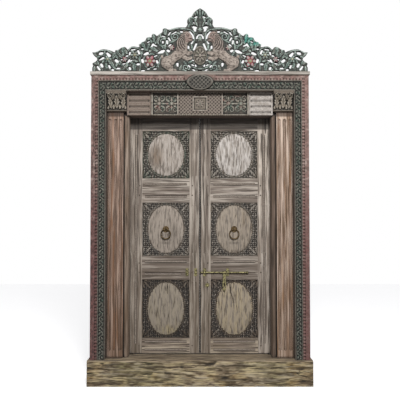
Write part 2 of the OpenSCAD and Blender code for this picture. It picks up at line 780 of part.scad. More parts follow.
module ring_band(shares, w) {
  translate(crest_at(shares)) difference() {
    circle(shares[2] * design_half);
    circle(shares[2] * design_half - w);
  }
}

// Flower outline of six round petals
module flower(shares) {
  r = shares[2] * design_half;
  translate(crest_at(shares)) {
    circle(r * petal_shares[0]);
    for (a = [0 : 60 : 300])
      rotate(a) translate([r * petal_shares[0], 0]) circle(r * petal_shares[1], $fn = 10);
  }
}

module leaves(shares, turns) {
  for (i = [0 : len(shares) - 1])
    translate(crest_at(shares[i])) rotate(turns[i])
      leaf(shares[i][2] * design_half, shares[i][3] * design_half);
}

// Flat outline of the lion, drawn in from its edge
module lion_outline(inset) {
  for (limb = lion_limb_shares)
    ribbon([crest_at(limb[0]), crest_at(limb[1])],
           2 * limb[0][2] * design_half - 2 * inset, 2 * limb[1][2] * design_half - 2 * inset);
}

module center_half() {
  stem(arch_shares, stem_w, stem_tip_w);
  stem(saddle_shares, stem_tip_w, stem_tip_w);
  stem(cup_shares, stem_tip_w, stem_tip_w);
  stem(back_stem_shares, stem_tip_w, scroll_tip_w);
  stem(side_stem_shares, stem_tip_w, scroll_tip_w);
  stem(column_shares, stem_tip_w, stem_tip_w);
  for (i = [0 : len(volute_shares) - 1]) volute(volute_shares[i], volute_turns[i]);
  ring_band(flower_ring_shares, scroll_w);
  for (f = flower_shares) flower(f);
  leaves(center_leaf_shares, center_leaf_turns);
  leaves(haunch_leaf_shares, haunch_leaf_turns);
  lion_outline(lion_edge);
}

module center_middle() {
  translate(crest_at([0, medallion_share]))
    scale([medallion_shares[0] * design_half, medallion_shares[1] * design_h]) circle(1);
  translate(crest_at([0, bud_shares[0]]))
    scale([bud_shares[1] * design_half, bud_shares[2] * design_h]) circle(1);
  translate(crest_at([0, knob_shares[0]])) circle(knob_shares[1] * design_half);
}

module wing_half() {
  ring_band(end_ring_shares, scroll_w);
  ring_band(loop_ring_shares, scroll_tip_w);
  for (row = [wing_stem_a_shares, wing_stem_b_shares, wing_stem_c_shares, end_foot_shares, end_post_shares])
    stem(row, stem_tip_w, scroll_tip_w);
  for (f = wing_flower_shares) flower(f);
  leaves(wing_leaf_shares, wing_leaf_turns);
  leaves(wing_foot_shares, wing_foot_turns);
}

// Pierced board, kept between two distances from the middle and above the rail
module pierced_board(x0, x1) {
  $fn = 14;
  fitted() front(crest_back) linear_extrude(crest_t) intersection() {
    offset(delta = -crest_blend) offset(delta = crest_blend) children();
    translate([x0, 0]) square([x1 - x0, finial_foot_share * design_h]);
  }
}

// Raised leaves and flower hearts on the face of a pierced board
module crest_carving(leaf_rows, turns, flowers) {
  fitted() translate([0, crest_front, 0]) {
    front(sink) linear_extrude(crest_relief + sink)
      for (i = [0 : len(leaf_rows) - 1])
        translate(crest_at(leaf_rows[i])) rotate(turns[i])
          leaf(leaf_rows[i][2] * design_half * leaf_relief_shares[0],
               leaf_rows[i][3] * design_half * leaf_relief_shares[1]);
    for (f = flowers)
      translate([f[0] * design_half, 0, f[1] * design_h]) sphere(f[2] * design_half * flower_dome_share);
  }
}

module crest_center() color("#46524e") {
  joint = crest_joint_share * design_half;
  pierced_board(-joint, joint) {
    for (s = [-1, 1]) side(s) center_half();
    center_middle();
  }
  for (s = [-1, 1]) side(s) crest_carving(center_leaf_shares, center_leaf_turns, flower_shares);
}

// Domed oval between the lions, flat at the back
module crest_medallion() color("#7d8078") difference() {
  half_l = medallion_shares[0] * crest_half;
  half_h = medallion_shares[1] * crest_h;
  translate([0, crest_front, rail_top + medallion_share * crest_h])
    scale([half_l, medallion_rise, half_h]) sphere(1);
  box([-half_l - over, crest_front, rail_top], [half_l + over, crest_back, rail_top + crest_h]);
}

module crest_wing(s) color("#46524e") side(s) {
  pierced_board(crest_joint_share * design_half, design_half) wing_half();
  crest_carving(wing_leaf_shares, wing_leaf_turns, wing_flower_shares);
}

// Lion in half-round relief, flat against the face of the pierced board
module crest_lion(s) color("#8d8078") side(s) {
  fitted() intersection() {
    translate([0, crest_front, 0]) scale([1, lion_depth_share, 1]) rotate([90, 0, 0])
      for (limb = lion_limb_shares)
        hull() for (end = limb) translate(crest_at(end)) sphere(end[2] * design_half, $fn = 14);
    box([0, crest_front - design_half, 0], [design_half, crest_front, design_h]);
  }
}

module finial_outline() {
  intersection() {
    union() for (s = [-1, 1]) side(s) {
      translate([0, finial_foot_share * design_h]) square([finial_stem_shares[0] * design_half,
        (finial_stem_shares[1] - finial_foot_share) * design_h]);
      for (lobe = finial_lobe_shares) translate(crest_at(lobe)) circle(lobe[2] * design_half);
      stem(finial_arm_shares, scroll_w, scroll_w);
      for (i = [0 : len(finial_petal_shares) - 1]) {
        petal = finial_petal_shares[i];
        translate(crest_at(petal)) rotate(finial_petal_turns[i])
          leaf(petal[2] * design_half, petal[3] * design_half);
      }
    }
    translate([-design_half, finial_foot_share * design_h])
      square([2 * design_half, (1 - finial_foot_share) * design_h]);
  }
}

module crest_finial() color("#46524e") {
  fitted() {
    front(crest_back) linear_extrude(crest_t)
      offset(delta = -crest_blend) offset(delta = crest_blend) finial_outline($fn = 20);
    for (s = [-1, 1], lobe = finial_lobe_shares)
      side(s) translate([lobe[0] * design_half, crest_front, lobe[1] * design_h])
        sphere(lobe[2] * design_half * finial_dome_share);
  }
}

// Leaves

// Cut in a stile for one rail's tenon, in from the edge at x
module mortise(x, inward, span) {
  a = min(x + inward * (rail_tenon_l + fit), x - inward * over);
  b = max(x + inward * (rail_tenon_l + fit), x - inward * over);
  box([a, leaf_mid - tenon_t / 2 - fit, span[0] + shoulder - fit],
      [b, leaf_mid + tenon_t / 2 + fit, span[1] - shoulder + fit]);
}

// Groove in a stile for one panel's tongue
module stile_groove(x, inward, span) {
  a = min(x + inward * (tongue_l + fit), x - inward * over);
  b = max(x + inward * (tongue_l + fit), x - inward * over);
  box([a, leaf_mid - tongue_t / 2 - fit, span[0] - tongue_l - fit],
      [b, leaf_mid + tongue_t / 2 + fit, span[1] + tongue_l + fit]);
}

// Pegs through the tenons of every rail, at one stile
module peg_row(x, r, y0, y1) {
  for (i = [0 : len(rail_spans) - 1], share = peg_row_shares[i])
    translate([x, y1, rail_spans[i][0] + share * (rail_spans[i][1] - rail_spans[i][0])])
      rotate([90, 0, 0]) cylinder(r = r, h = y1 - y0);
}

module both_peg_rows(r, y0, y1) {
  peg_row(meet_x - rail_tenon_l / 2, r, y0, y1);
  peg_row(stile_x + rail_tenon_l / 2, r, y0, y1);
}

module stile_cuts(x, inward, face_x, face_w) {
  for (span = rail_spans) mortise(x, inward, span);
  for (span = panel_spans) {
    stile_groove(x, inward, span);
    for (share = stile_reed_shares)
      reed_up(face_x + share * face_w, leaf_y - reed_r + reed_depth,
              span[0] + reed_inset, span[1] - reed_inset, reed_r);
  }
  both_peg_rows(peg_r + fit, leaf_y - over, leaf_back + over);
}

module hinge_stile(s) color("#9a8d80") side(s) difference() {
  union() {
    box([stile_x, leaf_y, leaf_z0], [pivot_x, leaf_back, leaf_z1]);
    translate([pivot_x, leaf_mid, leaf_z0]) cylinder(r = heel_r, h = leaf_z1 - leaf_z0);
    translate([pivot_x, leaf_mid, threshold_h - socket_d + seat_gap])
      cylinder(r = pintle_r, h = leaf_z1 - threshold_h + 2 * socket_d - 2 * seat_gap);
  }
  stile_cuts(stile_x, 1, stile_x, hinge_stile_w - reed_r);
}

module meeting_stile(s) color("#9a8d80") side(s) difference() {
  box([meet_gap / 2, leaf_y, leaf_z0], [meet_x, leaf_back, leaf_z1]);
  stile_cuts(meet_x, -1, meet_gap / 2, meeting_stile_w);
}

module leaf_rail(s, i) color("#a09486") side(s) difference() {
  span = rail_spans[i];
  union() {
    box([meet_x, leaf_y, span[0]], [stile_x, leaf_back, span[1]]);
    box([meet_x - rail_tenon_l, leaf_mid - tenon_t / 2, span[0] + shoulder],
        [stile_x + rail_tenon_l, leaf_mid + tenon_t / 2, span[1] - shoulder]);
  }
  if (i > 0)
    box([meet_x - over, leaf_mid - tongue_t / 2 - fit, span[0] - over],
        [stile_x + over, leaf_mid + tongue_t / 2 + fit, span[0] + tongue_l + fit]);
  if (i < len(rail_spans) - 1)
    box([meet_x - over, leaf_mid - tongue_t / 2 - fit, span[1] - tongue_l - fit],
        [stile_x + over, leaf_mid + tongue_t / 2 + fit, span[1] + over]);
  for (share = rail_reed_shares[i])
    reed_level(meet_x + reed_inset, stile_x - reed_inset, leaf_y - reed_r + reed_depth,
               span[0] + share * (span[1] - span[0]), reed_r);
  both_peg_rows(peg_r + fit, leaf_y - over, leaf_back + over);
}

// Carved leaves fanned in the four corners of a panel's ground
module panel_corner_leaves(span) {
  mid_z = (span[0] + span[1]) / 2;
  reach_x = rail_len / 2 - corner_inset;
  reach_z = (span[1] - span[0]) / 2 - corner_inset;
  for (sx = [0, 1], sz = [0, 1])
    translate([panel_mid_x, mid_z]) mirror([sx, 0]) mirror([0, sz])
      for (i = [0 : len(corner_turns) - 1])
        translate([-reach_x, -reach_z]) rotate(corner_turns[i])
          translate([corner_leaf_ls[i] / 2 + corner_inset, 0]) leaf(corner_leaf_ls[i], corner_leaf_w);
}

module leaf_panel(s, i) color("#55504a") side(s) difference() {
  span = panel_spans[i];
  union() {
    box([meet_x - tongue_l, leaf_mid - tongue_t / 2, span[0] - tongue_l],
        [stile_x + tongue_l, leaf_mid + tongue_t / 2, span[1] + tongue_l]);
    box([meet_x + panel_gap, ground_y, span[0] + panel_gap],
        [stile_x - panel_gap, panel_back, span[1] - panel_gap]);
    translate([panel_mid_x, ground_y, (span[0] + span[1]) / 2])
      scale([rail_len / 2 - oval_margin_x, oval_rise, (span[1] - span[0]) / 2 - oval_margin_z]) sphere(1);
    front(ground_y + sink) linear_extrude(corner_leaf_h + sink) panel_corner_leaves(span);
  }
  if (i == 1)
    translate([panel_mid_x, panel_back + over, ring_z]) rotate([90, 0, 0])
      cylinder(r = shank_r + fit, h = panel_back - dome_y + 2 * over);
}

module pegs(s) color("#6f6258") side(s)
  both_peg_rows(peg_r, leaf_y - peg_proud, leaf_back);

// Ring pulls

module ring_rose(s) color("#4a3d2c") side(s) translate([panel_mid_x, dome_y, ring_z]) rotate([90, 0, 0])
  rotate_extrude() difference() {
    square([rose_r, rose_t]);
    square([shank_r + fit, rose_t]);
    translate([rose_r, rose_t]) circle(rose_cove_r);
  }

module ring_eye(s) color("#4a3d2c") side(s) translate([panel_mid_x, 0, ring_z]) {
  difference() {
    union() {
      translate([-eye_t / 2, eye_y, 0]) rotate([0, 90, 0]) cylinder(r = eye_r, h = eye_t);
      translate([0, panel_back + clinch_t, 0]) rotate([90, 0, 0])
        cylinder(r = shank_r, h = panel_back + clinch_t - eye_y - ring_wire_r - pin_fit);
      translate([0, panel_back + clinch_t, 0]) rotate([90, 0, 0]) cylinder(r = clinch_r, h = clinch_t);
    }
    translate([-eye_t, eye_y, 0]) rotate([0, 90, 0]) cylinder(r = ring_wire_r + pin_fit, h = 2 * eye_t);
  }
}

module pull_ring(s) color("#6b5a3a") side(s)
  translate([panel_mid_x, eye_y, ring_z - ring_r]) rotate([90, 0, 0])
    rotate_extrude() translate([ring_r, 0]) circle(ring_wire_r);

// Bolt

// Loop that carries the bar, on a plate fixed to the leaf
module bolt_loop(x, play) {
  reach = bolt_r + play + keeper_wall;
  difference() {
    union() {
      rod_x(x - keeper_w / 2, x + keeper_w / 2, bolt_y, bolt_z, reach);
      box([x - keeper_w / 2, bolt_y, bolt_z - reach + loop_ease],
          [x + keeper_w / 2, leaf_y, bolt_z + reach - loop_ease]);
      box([x - keeper_plate_w / 2, leaf_y - keeper_plate_t, bolt_z - keeper_plate_h / 2],
          [x + keeper_plate_w / 2, leaf_y, bolt_z + keeper_plate_h / 2]);
    }
    rod_x(x - keeper_plate_w, x + keeper_plate_w, bolt_y, bolt_z, bolt_r + play);
  }
}

module bolt_keepers() color("#8f8a60") {
  bolt_loop(keeper_x, pin_fit);
  bolt_loop(far_keeper_x, pin_fit);
}

module bolt_staples() color("#8f8a60")
  for (x = staple_xs) bolt_loop(-x, staple_play);

module bolt_bar() color("#8f8a60") {
  rod_x(bolt_tip_x + bolt_nose_l, bolt_tip_x + bolt_l, bolt_y, bolt_z, bolt_r);
  translate([bolt_tip_x, bolt_y, bolt_z]) rotate([0, 90, 0])
    cylinder(r1 = bolt_r / 2, r2 = bolt_r, h = bolt_nose_l);
}

// Collars that keep the hasp in its place and the knob on the bar's end, each bored for the bar
module bolt_collars() color("#8f8a60") difference() {
  union() {
    translate([bolt_tip_x + bolt_l, bolt_y, bolt_z]) sphere(knob_r);
    for (s = [-1, 1])
      rod_x(hasp_x + s * (hasp_eye_w / 2 + pin_fit + collar_t / 2) - collar_t / 2,
            hasp_x + s * (hasp_eye_w / 2 + pin_fit + collar_t / 2) + collar_t / 2, bolt_y, bolt_z, collar_r);
  }
  rod_x(bolt_tip_x, bolt_tip_x + bolt_l + collar_fit, bolt_y, bolt_z, bolt_r + collar_fit);
}

// Hasp hung on the bar: an eye, a slotted tongue and a leaf-shaped tip
module hasp() color("#8f8a60") difference() {
  union() {
    rod_x(hasp_x - hasp_eye_w / 2, hasp_x + hasp_eye_w / 2, bolt_y, bolt_z, hasp_eye_r);
    box([hasp_x - hasp_eye_w / 2, bolt_y - hasp_t / 2, bolt_z - slot_drop + slot_h / 2 + slot_w],
        [hasp_x + hasp_eye_w / 2, bolt_y + hasp_t / 2, bolt_z]);
    box([hasp_x - hasp_w / 2, bolt_y - hasp_t / 2, bolt_z - hasp_l + hasp_tip_l],
        [hasp_x + hasp_w / 2, bolt_y + hasp_t / 2, bolt_z - slot_drop + slot_h / 2 + slot_w]);
    front(bolt_y + hasp_t / 2) linear_extrude(hasp_t)
      translate([hasp_x, bolt_z - hasp_l + hasp_tip_l]) rotate(90)
        leaf(2 * hasp_tip_l, hasp_w - hasp_tip_ease);
  }
  rod_x(hasp_x - hasp_w, hasp_x + hasp_w, bolt_y, bolt_z, bolt_r + pin_fit);
  front(bolt_y + hasp_t) linear_extrude(2 * hasp_t) translate([hasp_x, bolt_z - slot_drop]) {
    square([slot_w, slot_h - slot_w], center = true);
    for (s = [-1, 1]) translate([0, s * (slot_h - slot_w) / 2]) circle(slot_w / 2);
  }
}

module padlock_staple() color("#8f8a60") difference() {
  lug_r = padlock_r + padlock_wall;
  union() {
    rod_x(staple_x - padlock_t / 2, staple_x + padlock_t / 2, padlock_y, padlock_z, lug_r);
    box([staple_x - padlock_t / 2, padlock_y, padlock_z - lug_r + loop_ease],
        [staple_x + padlock_t / 2, leaf_y, padlock_z + lug_r - loop_ease]);
    translate([staple_x, leaf_y, padlock_z]) rotate([90, 0, 0])
      cylinder(r = padlock_plate_r, h = keeper_plate_t);
  }
  rod_x(staple_x - padlock_t, staple_x + padlock_t, padlock_y, padlock_z, padlock_r);
}

threshold();
jamb(-1);  // left_jamb
jamb(1);  // right_jamb
head_beam();
pilaster(-1);  // left_pilaster
pilaster(1);  // right_pilaster
capital(-1);  // left_capital
capital(1);  // right_capital
surround_post(-1);  // left_surround_post
surround_post(1);  // right_surround_post
surround_head();
side_band(-1);  // left_band
side_band(1);  // right_band
top_band();
side_moulding(-1);  // left_moulding
side_moulding(1);  // right_moulding
top_moulding();
top_boss();
frieze_board();
crest_rail();
crest_wing(-1);  // crest_left_wing
crest_center();
crest_wing(1);  // crest_right_wing
crest_lion(-1);  // crest_left_lion
crest_lion(1);  // crest_right_lion
crest_medallion();
crest_finial();
hinge_stile(-1);  // left_hinge_stile
meeting_stile(-1);  // left_meeting_stile
leaf_rail(-1, 0);  // left_bottom_rail
leaf_rail(-1, 1);  // left_lower_rail
leaf_rail(-1, 2);  // left_upper_rail
leaf_rail(-1, 3);  // left_top_rail
leaf_panel(-1, 0);  // left_lower_panel
leaf_panel(-1, 1);  // left_middle_panel
leaf_panel(-1, 2);  // left_upper_panel
pegs(-1);  // left_pegs
hinge_stile(1);  // right_hinge_stile
meeting_stile(1);  // right_meeting_stile
leaf_rail(1, 0);  // right_bottom_rail
leaf_rail(1, 1);  // right_lower_rail
leaf_rail(1, 2);  // right_upper_rail
leaf_rail(1, 3);  // right_top_rail
leaf_panel(1, 0);  // right_lower_panel
leaf_panel(1, 1);  // right_middle_panel
leaf_panel(1, 2);  // right_upper_panel
pegs(1);  // right_pegs
ring_rose(-1);  // left_ring_rose
ring_eye(-1);  // left_ring_eye
pull_ring(-1);  // left_ring
ring_rose(1);  // right_ring_rose
ring_eye(1);  // right_ring_eye
pull_ring(1);  // right_ring
bolt_bar();
bolt_collars();
hasp();
bolt_keepers();
padlock_staple();
bolt_staples();
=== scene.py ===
import json
import math

import bpy
import numpy as np
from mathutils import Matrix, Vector


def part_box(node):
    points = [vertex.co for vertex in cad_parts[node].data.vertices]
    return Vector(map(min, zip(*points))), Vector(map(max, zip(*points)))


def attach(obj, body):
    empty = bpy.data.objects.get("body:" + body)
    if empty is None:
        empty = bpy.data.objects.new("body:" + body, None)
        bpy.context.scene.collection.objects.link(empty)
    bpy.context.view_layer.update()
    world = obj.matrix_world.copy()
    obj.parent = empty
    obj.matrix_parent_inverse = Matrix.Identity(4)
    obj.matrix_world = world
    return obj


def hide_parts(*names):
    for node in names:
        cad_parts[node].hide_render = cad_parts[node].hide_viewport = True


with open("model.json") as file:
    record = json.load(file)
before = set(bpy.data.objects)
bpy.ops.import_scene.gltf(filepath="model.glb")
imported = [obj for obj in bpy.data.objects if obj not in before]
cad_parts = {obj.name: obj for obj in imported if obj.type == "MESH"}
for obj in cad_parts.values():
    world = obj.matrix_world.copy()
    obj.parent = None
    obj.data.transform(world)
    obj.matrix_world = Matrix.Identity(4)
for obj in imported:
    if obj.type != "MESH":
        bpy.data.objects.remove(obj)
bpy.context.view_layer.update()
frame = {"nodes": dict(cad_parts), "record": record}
print("frame loaded", len(frame["nodes"]), "nodes")


# Numbers and noise

def linear(code):  # sRGB hex to linear light
    rgb = np.array([int(code[i:i + 2], 16) for i in (1, 3, 5)]) / 255
    return np.where(rgb <= 0.04045, rgb / 12.92, ((rgb + 0.055) / 1.055) ** 2.4)


def lattice(i, j, seed):  # a repeatable number from 0 to 1 for each lattice point
    n = (i * 374761393 + j * 668265263 + seed * 144269504) & 0x7FFFFFFF
    n = ((n ^ (n >> 13)) * 1274126177) & 0x7FFFFFFF
    return ((n ^ (n >> 16)) & 0xFFFF) / 65535


def softNoise(x, z, size, seed=1):  # value noise: lattice numbers, blended by a smooth step
    i, j = np.floor(x / size).astype(np.int64), np.floor(z / size).astype(np.int64)
    s, t = x / size - i, z / size - j
    s, t = s * s * (3 - 2 * s), t * t * (3 - 2 * t)
    low = lattice(i, j, seed) * (1 - s) + lattice(i + 1, j, seed) * s
    high = lattice(i, j + 1, seed) * (1 - s) + lattice(i + 1, j + 1, seed) * s
    return low * (1 - t) + high * t


def blurred(a, n):  # mean over a square window, by running sums
    k = 2 * n + 1
    total = np.pad(np.cumsum(np.cumsum(np.pad(a, n, mode="edge"), 0), 1), ((1, 0), (1, 0)))
    return (total[k:, k:] - total[:-k, k:] - total[k:, :-k] + total[:-k, :-k]) / k ** 2


def smoothPath(points, steps=6):  # Catmull-Rom curve through given points
    p = np.asarray(points, float)
    p = np.vstack([p[:1], p, p[-1:]])
    t = np.linspace(0, 1, steps, endpoint=False)[:, None, None]
    a, b, c, d = p[:-3], p[1:-2], p[2:-1], p[3:]
    pull, bend, twist = c - a, 2 * a - 5 * b + 4 * c - d, 3 * b - a - 3 * c + d
    curve = (2 * b + pull * t + bend * t ** 2 + twist * t ** 3) / 2
    return np.vstack([curve.transpose(1, 0, 2).reshape(-1, 2), p[-1:]])


def polar(r, turn):  # a place at a distance and an angle in degrees
    return r * math.cos(math.radians(turn)), r * math.sin(math.radians(turn))


def nearAndFar(node):  # how far a node's two sides are from the middle of the door
    return sorted(abs(corner.x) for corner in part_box(node))


# Carving: every motif is a field, in metres, positive inside its outline, and a rise toward the viewer

def newRelief(shape, ground=-1.0, color="#000000"):  # nothing drawn yet: level ground of one colour
    return {"field": np.full(shape, -1.0), "rise": np.full(shape, ground),
            "paint": np.tile(linear(color), shape + (1,))}


def lay(relief, field, rise, color, slack=0.0006):  # a motif covers what is lower than it
    over = (field > -slack) & (rise > relief["rise"])
    relief["rise"] = np.where(over, rise, relief["rise"])
    relief["paint"][over] = linear(color)
    relief["field"] = np.maximum(relief["field"], field)


def tint(relief, share, color):  # paint mixed toward a colour by a share from 0 to 1
    share = share[..., None]
    relief["paint"] = relief["paint"] * (1 - share) + linear(color) * share


def cavity(rise, step, reach, depth):  # how far a place lies below the mean around it, from 0 to 1
    wide = blurred(rise, max(1, int(round(reach / step))))
    return np.clip(0.5 + (wide - rise) / depth, 0, 1)


def bank(field, width):  # quarter-round edge: steep at the outline, level at that width
    t = np.clip(field / width, 0, 1)
    return np.sqrt(t * (2 - t))


def ribbon(x, z, path, w0, w1):  # half the width, from w0 to w1, less the distance to the path
    field = np.full(x.shape, -1.0)
    w = max(w0, w1)
    low, high = path.min(0) - w, path.max(0) + w
    near = (x > low[0]) & (x < high[0]) & (z > low[1]) & (z < high[1])
    px, pz = x[near][:, None], z[near][:, None]
    a, d = path[:-1], np.diff(path, axis=0)
    along = np.clip(((px - a[:, 0]) * d[:, 0] + (pz - a[:, 1]) * d[:, 1]) / (d ** 2).sum(1), 0, 1)
    gap = np.hypot(px - a[:, 0] - along * d[:, 0], pz - a[:, 1] - along * d[:, 1])
    share = (np.arange(len(d)) + along) / len(d)
    field[near] = ((w0 + (w1 - w0) * share) / 2 - gap).max(1)
    return field


def spiral(cx, cz, r, start, turns, wind=0.78, steps=44):  # radius shrinks evenly with the angle
    k = np.linspace(0, 1, steps)
    angle = np.radians(start - turns * 360 * k)
    return np.stack([cx + r * (1 - wind * k) * np.cos(angle), cz + r * (1 - wind * k) * np.sin(angle)], 1)


def turned(x, z, cx, cz, turn):  # coordinates along and across a motif turned by an angle
    c, s = polar(1, turn)
    return (x - cx) * c + (z - cz) * s, (z - cz) * c - (x - cx) * s


def layStem(relief, x, z, path, w0, w1, lift, rise, color):  # a ribbon with rounded edges
    field = ribbon(x, z, path, w0, w1)
    lay(relief, field, lift + rise * bank(field, max(w0, w1) / 2), color)


def layLeaf(relief, x, z, place, lift, rise, color, lobes=4):
    # lens between two arcs, notched by slanted waves along its edge, with veins and a sunk midrib
    cx, cz, length, width, turn = place
    u, v = turned(x, z, cx, cz, turn)
    r = (length ** 2 + width ** 2) / (4 * width)
    edge = np.abs(v) / width
    wave = 0.5 - 0.5 * np.cos(2 * np.pi * lobes * (u / length - 0.7 * edge))
    field = r - np.hypot(u, np.abs(v) + r - width / 2) - 0.16 * width * wave * np.clip(edge * 2.4, 0, 1)
    veins, midrib = 0.3 * wave * np.clip(edge * 3, 0, 1), 0.35 * np.exp(-(edge / 0.07) ** 2)
    lay(relief, field, lift + rise * (bank(field, width * 0.3) - veins - midrib), color)


def layFlower(relief, x, z, place, lift, rise, color, heart, petals=6):
    # the edge swells and shrinks with the angle; creases run between the petals to a round heart
    cx, cz, r = place
    rho, theta = np.hypot(x - cx, z - cz), np.arctan2(z - cz, x - cx)
    field = r * (0.84 + 0.16 * np.cos(petals * theta)) - rho
    crease = np.exp(-(np.sin(petals * theta / 2 + np.pi / 2) / 0.3) ** 2) * np.clip(rho / r * 1.6, 0, 1)
    lay(relief, field, lift + rise * (bank(field, r * 0.45) - 0.45 * crease), color)
    core = r * 0.32 - rho
    lay(relief, core, lift + rise * (0.75 + 0.55 * bank(core, r * 0.3)), heart)


def layRing(relief, x, z, place, width, lift, rise, color):  # rounded both ways from the middle of its width
    cx, cz, r = place
    field = width / 2 - np.abs(np.hypot(x - cx, z - cz) - r + width / 2)
    lay(relief, field, lift + rise * bank(field, width / 2), color)


def layOval(relief, x, z, place, lift, rise, color):  # a dome over an ellipse
    cx, cz, rx, rz = place
    q = ((x - cx) / rx) ** 2 + ((z - cz) / rz) ** 2
    lay(relief, (1 - np.sqrt(q)) * min(rx, rz), lift + rise * np.sqrt(np.clip(1 - q, 0, 1)), color)


# Meshes

def makePiece(name, points, faces, values, material, body, nodes, crease=38):
    # faces is a list of index arrays, one row a face
    mesh = bpy.data.meshes.new(name)
    sizes = np.concatenate([np.full(len(f), f.shape[1]) for f in faces])
    corners = np.concatenate([f.ravel() for f in faces])
    mesh.vertices.add(len(points))
    mesh.vertices.foreach_set("co", points.astype(np.float32).ravel())
    mesh.loops.add(len(corners))
    mesh.loops.foreach_set("vertex_index", corners.astype(np.int32))
    mesh.polygons.add(len(sizes))
    mesh.polygons.foreach_set("loop_start", np.concatenate([[0], np.cumsum(sizes)[:-1]]).astype(np.int32))
    mesh.update(calc_edges=True)
    for key, value in values.items():
        kind, field = ("FLOAT", "value") if value.ndim == 1 else ("FLOAT_COLOR", "color")
        data = value if value.ndim == 1 else np.column_stack([value, np.ones(len(value))])
        mesh.attributes.new(key, kind, "POINT").data.foreach_set(field, data.astype(np.float32).ravel())
    mesh.shade_smooth()
    mesh.set_sharp_from_angle(angle=math.radians(crease))
    mesh.validate()
    piece = bpy.data.objects.new(name, mesh)
    bpy.context.scene.collection.objects.link(piece)
    mesh.materials.append(material)
    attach(piece, body)
    if nodes:
        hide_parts(*nodes)
    print("made", name, sum(len(f) * (f.shape[1] - 2) for f in faces), "triangles")


def gridQuads(rows, columns):  # corner numbers of each cell of a grid
    n = np.arange(rows * columns).reshape(rows, columns)
    return np.stack([n[:-1, :-1], n[:-1, 1:], n[1:, 1:], n[1:, :-1]], -1).reshape(-1, 4)


def rimOf(rows, columns):  # the grid's border, once round
    n = np.arange(rows * columns).reshape(rows, columns)
    return np.concatenate([n[0, :-1], n[:-1, -1], n[-1, :0:-1], n[:0:-1, 0]])


def solidBoard(name, front, backY, values, material, body, nodes, flip=False, crease=38):
    # a carved front, walls from its rim straight back, and one flat face behind
    rows, columns = front.shape[:2]
    points = front.reshape(-1, 3)
    rim = rimOf(rows, columns)
    back = points[rim].copy()
    back[:, 1] = backY
    behind = len(points) + np.arange(len(rim))
    walls = np.stack([np.roll(rim, -1), rim, behind, np.roll(behind, -1)], 1)
    faces = [gridQuads(rows, columns), walls, behind[None, ::-1]]
    if flip:
        faces = [f[:, ::-1] for f in faces]
    flat = {k: v.reshape((rows * columns,) + v.shape[2:]) for k, v in values.items()}
    full = {k: np.concatenate([v, v[rim]]) for k, v in flat.items()}
    makePiece(name, np.concatenate([points, back]), faces, full, material, body, nodes, crease)


# corners are pulled at most reach steps, share of the way each time; backs are darker and evenly dirty
pierced = {"pulls": 3, "reach": 1.6, "share": 0.7, "leastSlope": 0.3, "backTone": 0.55, "backGrime": 0.6,
           "cavity": (0.010, 0.006), "crease": 45}


def piercedBoard(node, draw, low, high, step, frontY, backY, material):
    # cells that touch the carving are kept, and corners outside it are moved onto its outline
    columns, rows = [int(round((high[i] - low[i]) / step)) + 1 for i in (0, 1)]
    x, z = np.meshgrid(np.linspace(low[0], high[0], columns), np.linspace(low[1], high[1], rows))
    field = draw(x, z)["field"]
    inside = field > 0
    kept = inside[:-1, :-1] | inside[:-1, 1:] | inside[1:, 1:] | inside[1:, :-1]
    reach = pierced["reach"] * step
    for _ in range(pierced["pulls"]):
        slopeZ, slopeX = np.gradient(field, step)
        slope = np.maximum(slopeX ** 2 + slopeZ ** 2, pierced["leastSlope"])
        move = np.where(inside, 0, np.clip(field, -reach, reach) / slope) * pierced["share"]
        x, z = x - move * slopeX, z - move * slopeZ
        x, z = np.clip(x, low[0], high[0]), np.clip(z, low[1], high[1])
        field = np.where(inside, field, np.minimum(draw(x, z)["field"], field * 0.5))
    relief = draw(x, z)
    rise = np.maximum(relief["rise"], 0)
    n = np.arange(rows * columns).reshape(rows, columns)
    quads = gridQuads(rows, columns)[kept.ravel()]
    padded, walls = np.pad(kept, 1), []
    for here, there, a, b in ((padded[1:, 1:-1], padded[:-1, 1:-1], n[:, :-1], n[:, 1:]),
                              (padded[1:-1, 1:], padded[1:-1, :-1], n[1:], n[:-1])):
        for mask, start, end in ((here & ~there, a, b), (there & ~here, b, a)):
            walls.append(np.stack([start[mask], end[mask]], 1))
    used = np.zeros(rows * columns, bool)
    used[quads.ravel()] = True
    number, count = np.cumsum(used) - 1, int(used.sum())
    front = np.stack([x, frontY - rise, z], -1).reshape(-1, 3)[used]
    back = front.copy()
    back[:, 1] = backY
    quads, walls = number[quads], number[np.concatenate(walls)]
    sides = np.stack([walls[:, 1], walls[:, 0], walls[:, 0] + count, walls[:, 1] + count], 1)
    tone = relief["paint"].reshape(-1, 3)[used]
    shadeAndDirt = cavity(rise, step, *pierced["cavity"]).ravel()[used]
    values = {"paint": np.concatenate([tone, tone * pierced["backTone"]]),
              "shadeAndGrime": np.concatenate([shadeAndDirt, np.full(count, pierced["backGrime"])])}
    faces = [quads, quads[:, ::-1] + count, sides]
    points = np.concatenate([front, back])
    makePiece(node + "_carving", points, faces, values, material, "frame", [node], pierced["crease"])


# Materials

def rgba(code):  # sRGB hex to the four values of a colour socket
    return tuple(linear(code)) + (1.0,)


def addNode(tree, kind, inputs, **settings):  # an input is a socket to link, a colour code or a plain value
    made = tree.nodes.new("ShaderNode" + kind)
    for key, value in settings.items():
        setattr(made, key, value)
    for key, value in inputs.items():
        if isinstance(value, bpy.types.NodeSocket):
            tree.links.new(value, made.inputs[key])
        else:
            made.inputs[key].default_value = rgba(value) if isinstance(value, str) else value
    return made


def newMaterial(name, **shader):  # a material, its node tree and its shader with these values set
    material = bpy.data.materials.new(name)
    material.use_nodes = True
    tree = material.node_tree
    principled = tree.nodes["Principled BSDF"]
    for key, value in shader.items():
        principled.inputs[key].default_value = value
    return material, tree, principled


def smoothRange(low, high, most=1.0, least=0.0):  # settings of a smooth step from least to most
    return {"From Min": low, "From Max": high, "To Min": least, "To Max": most}


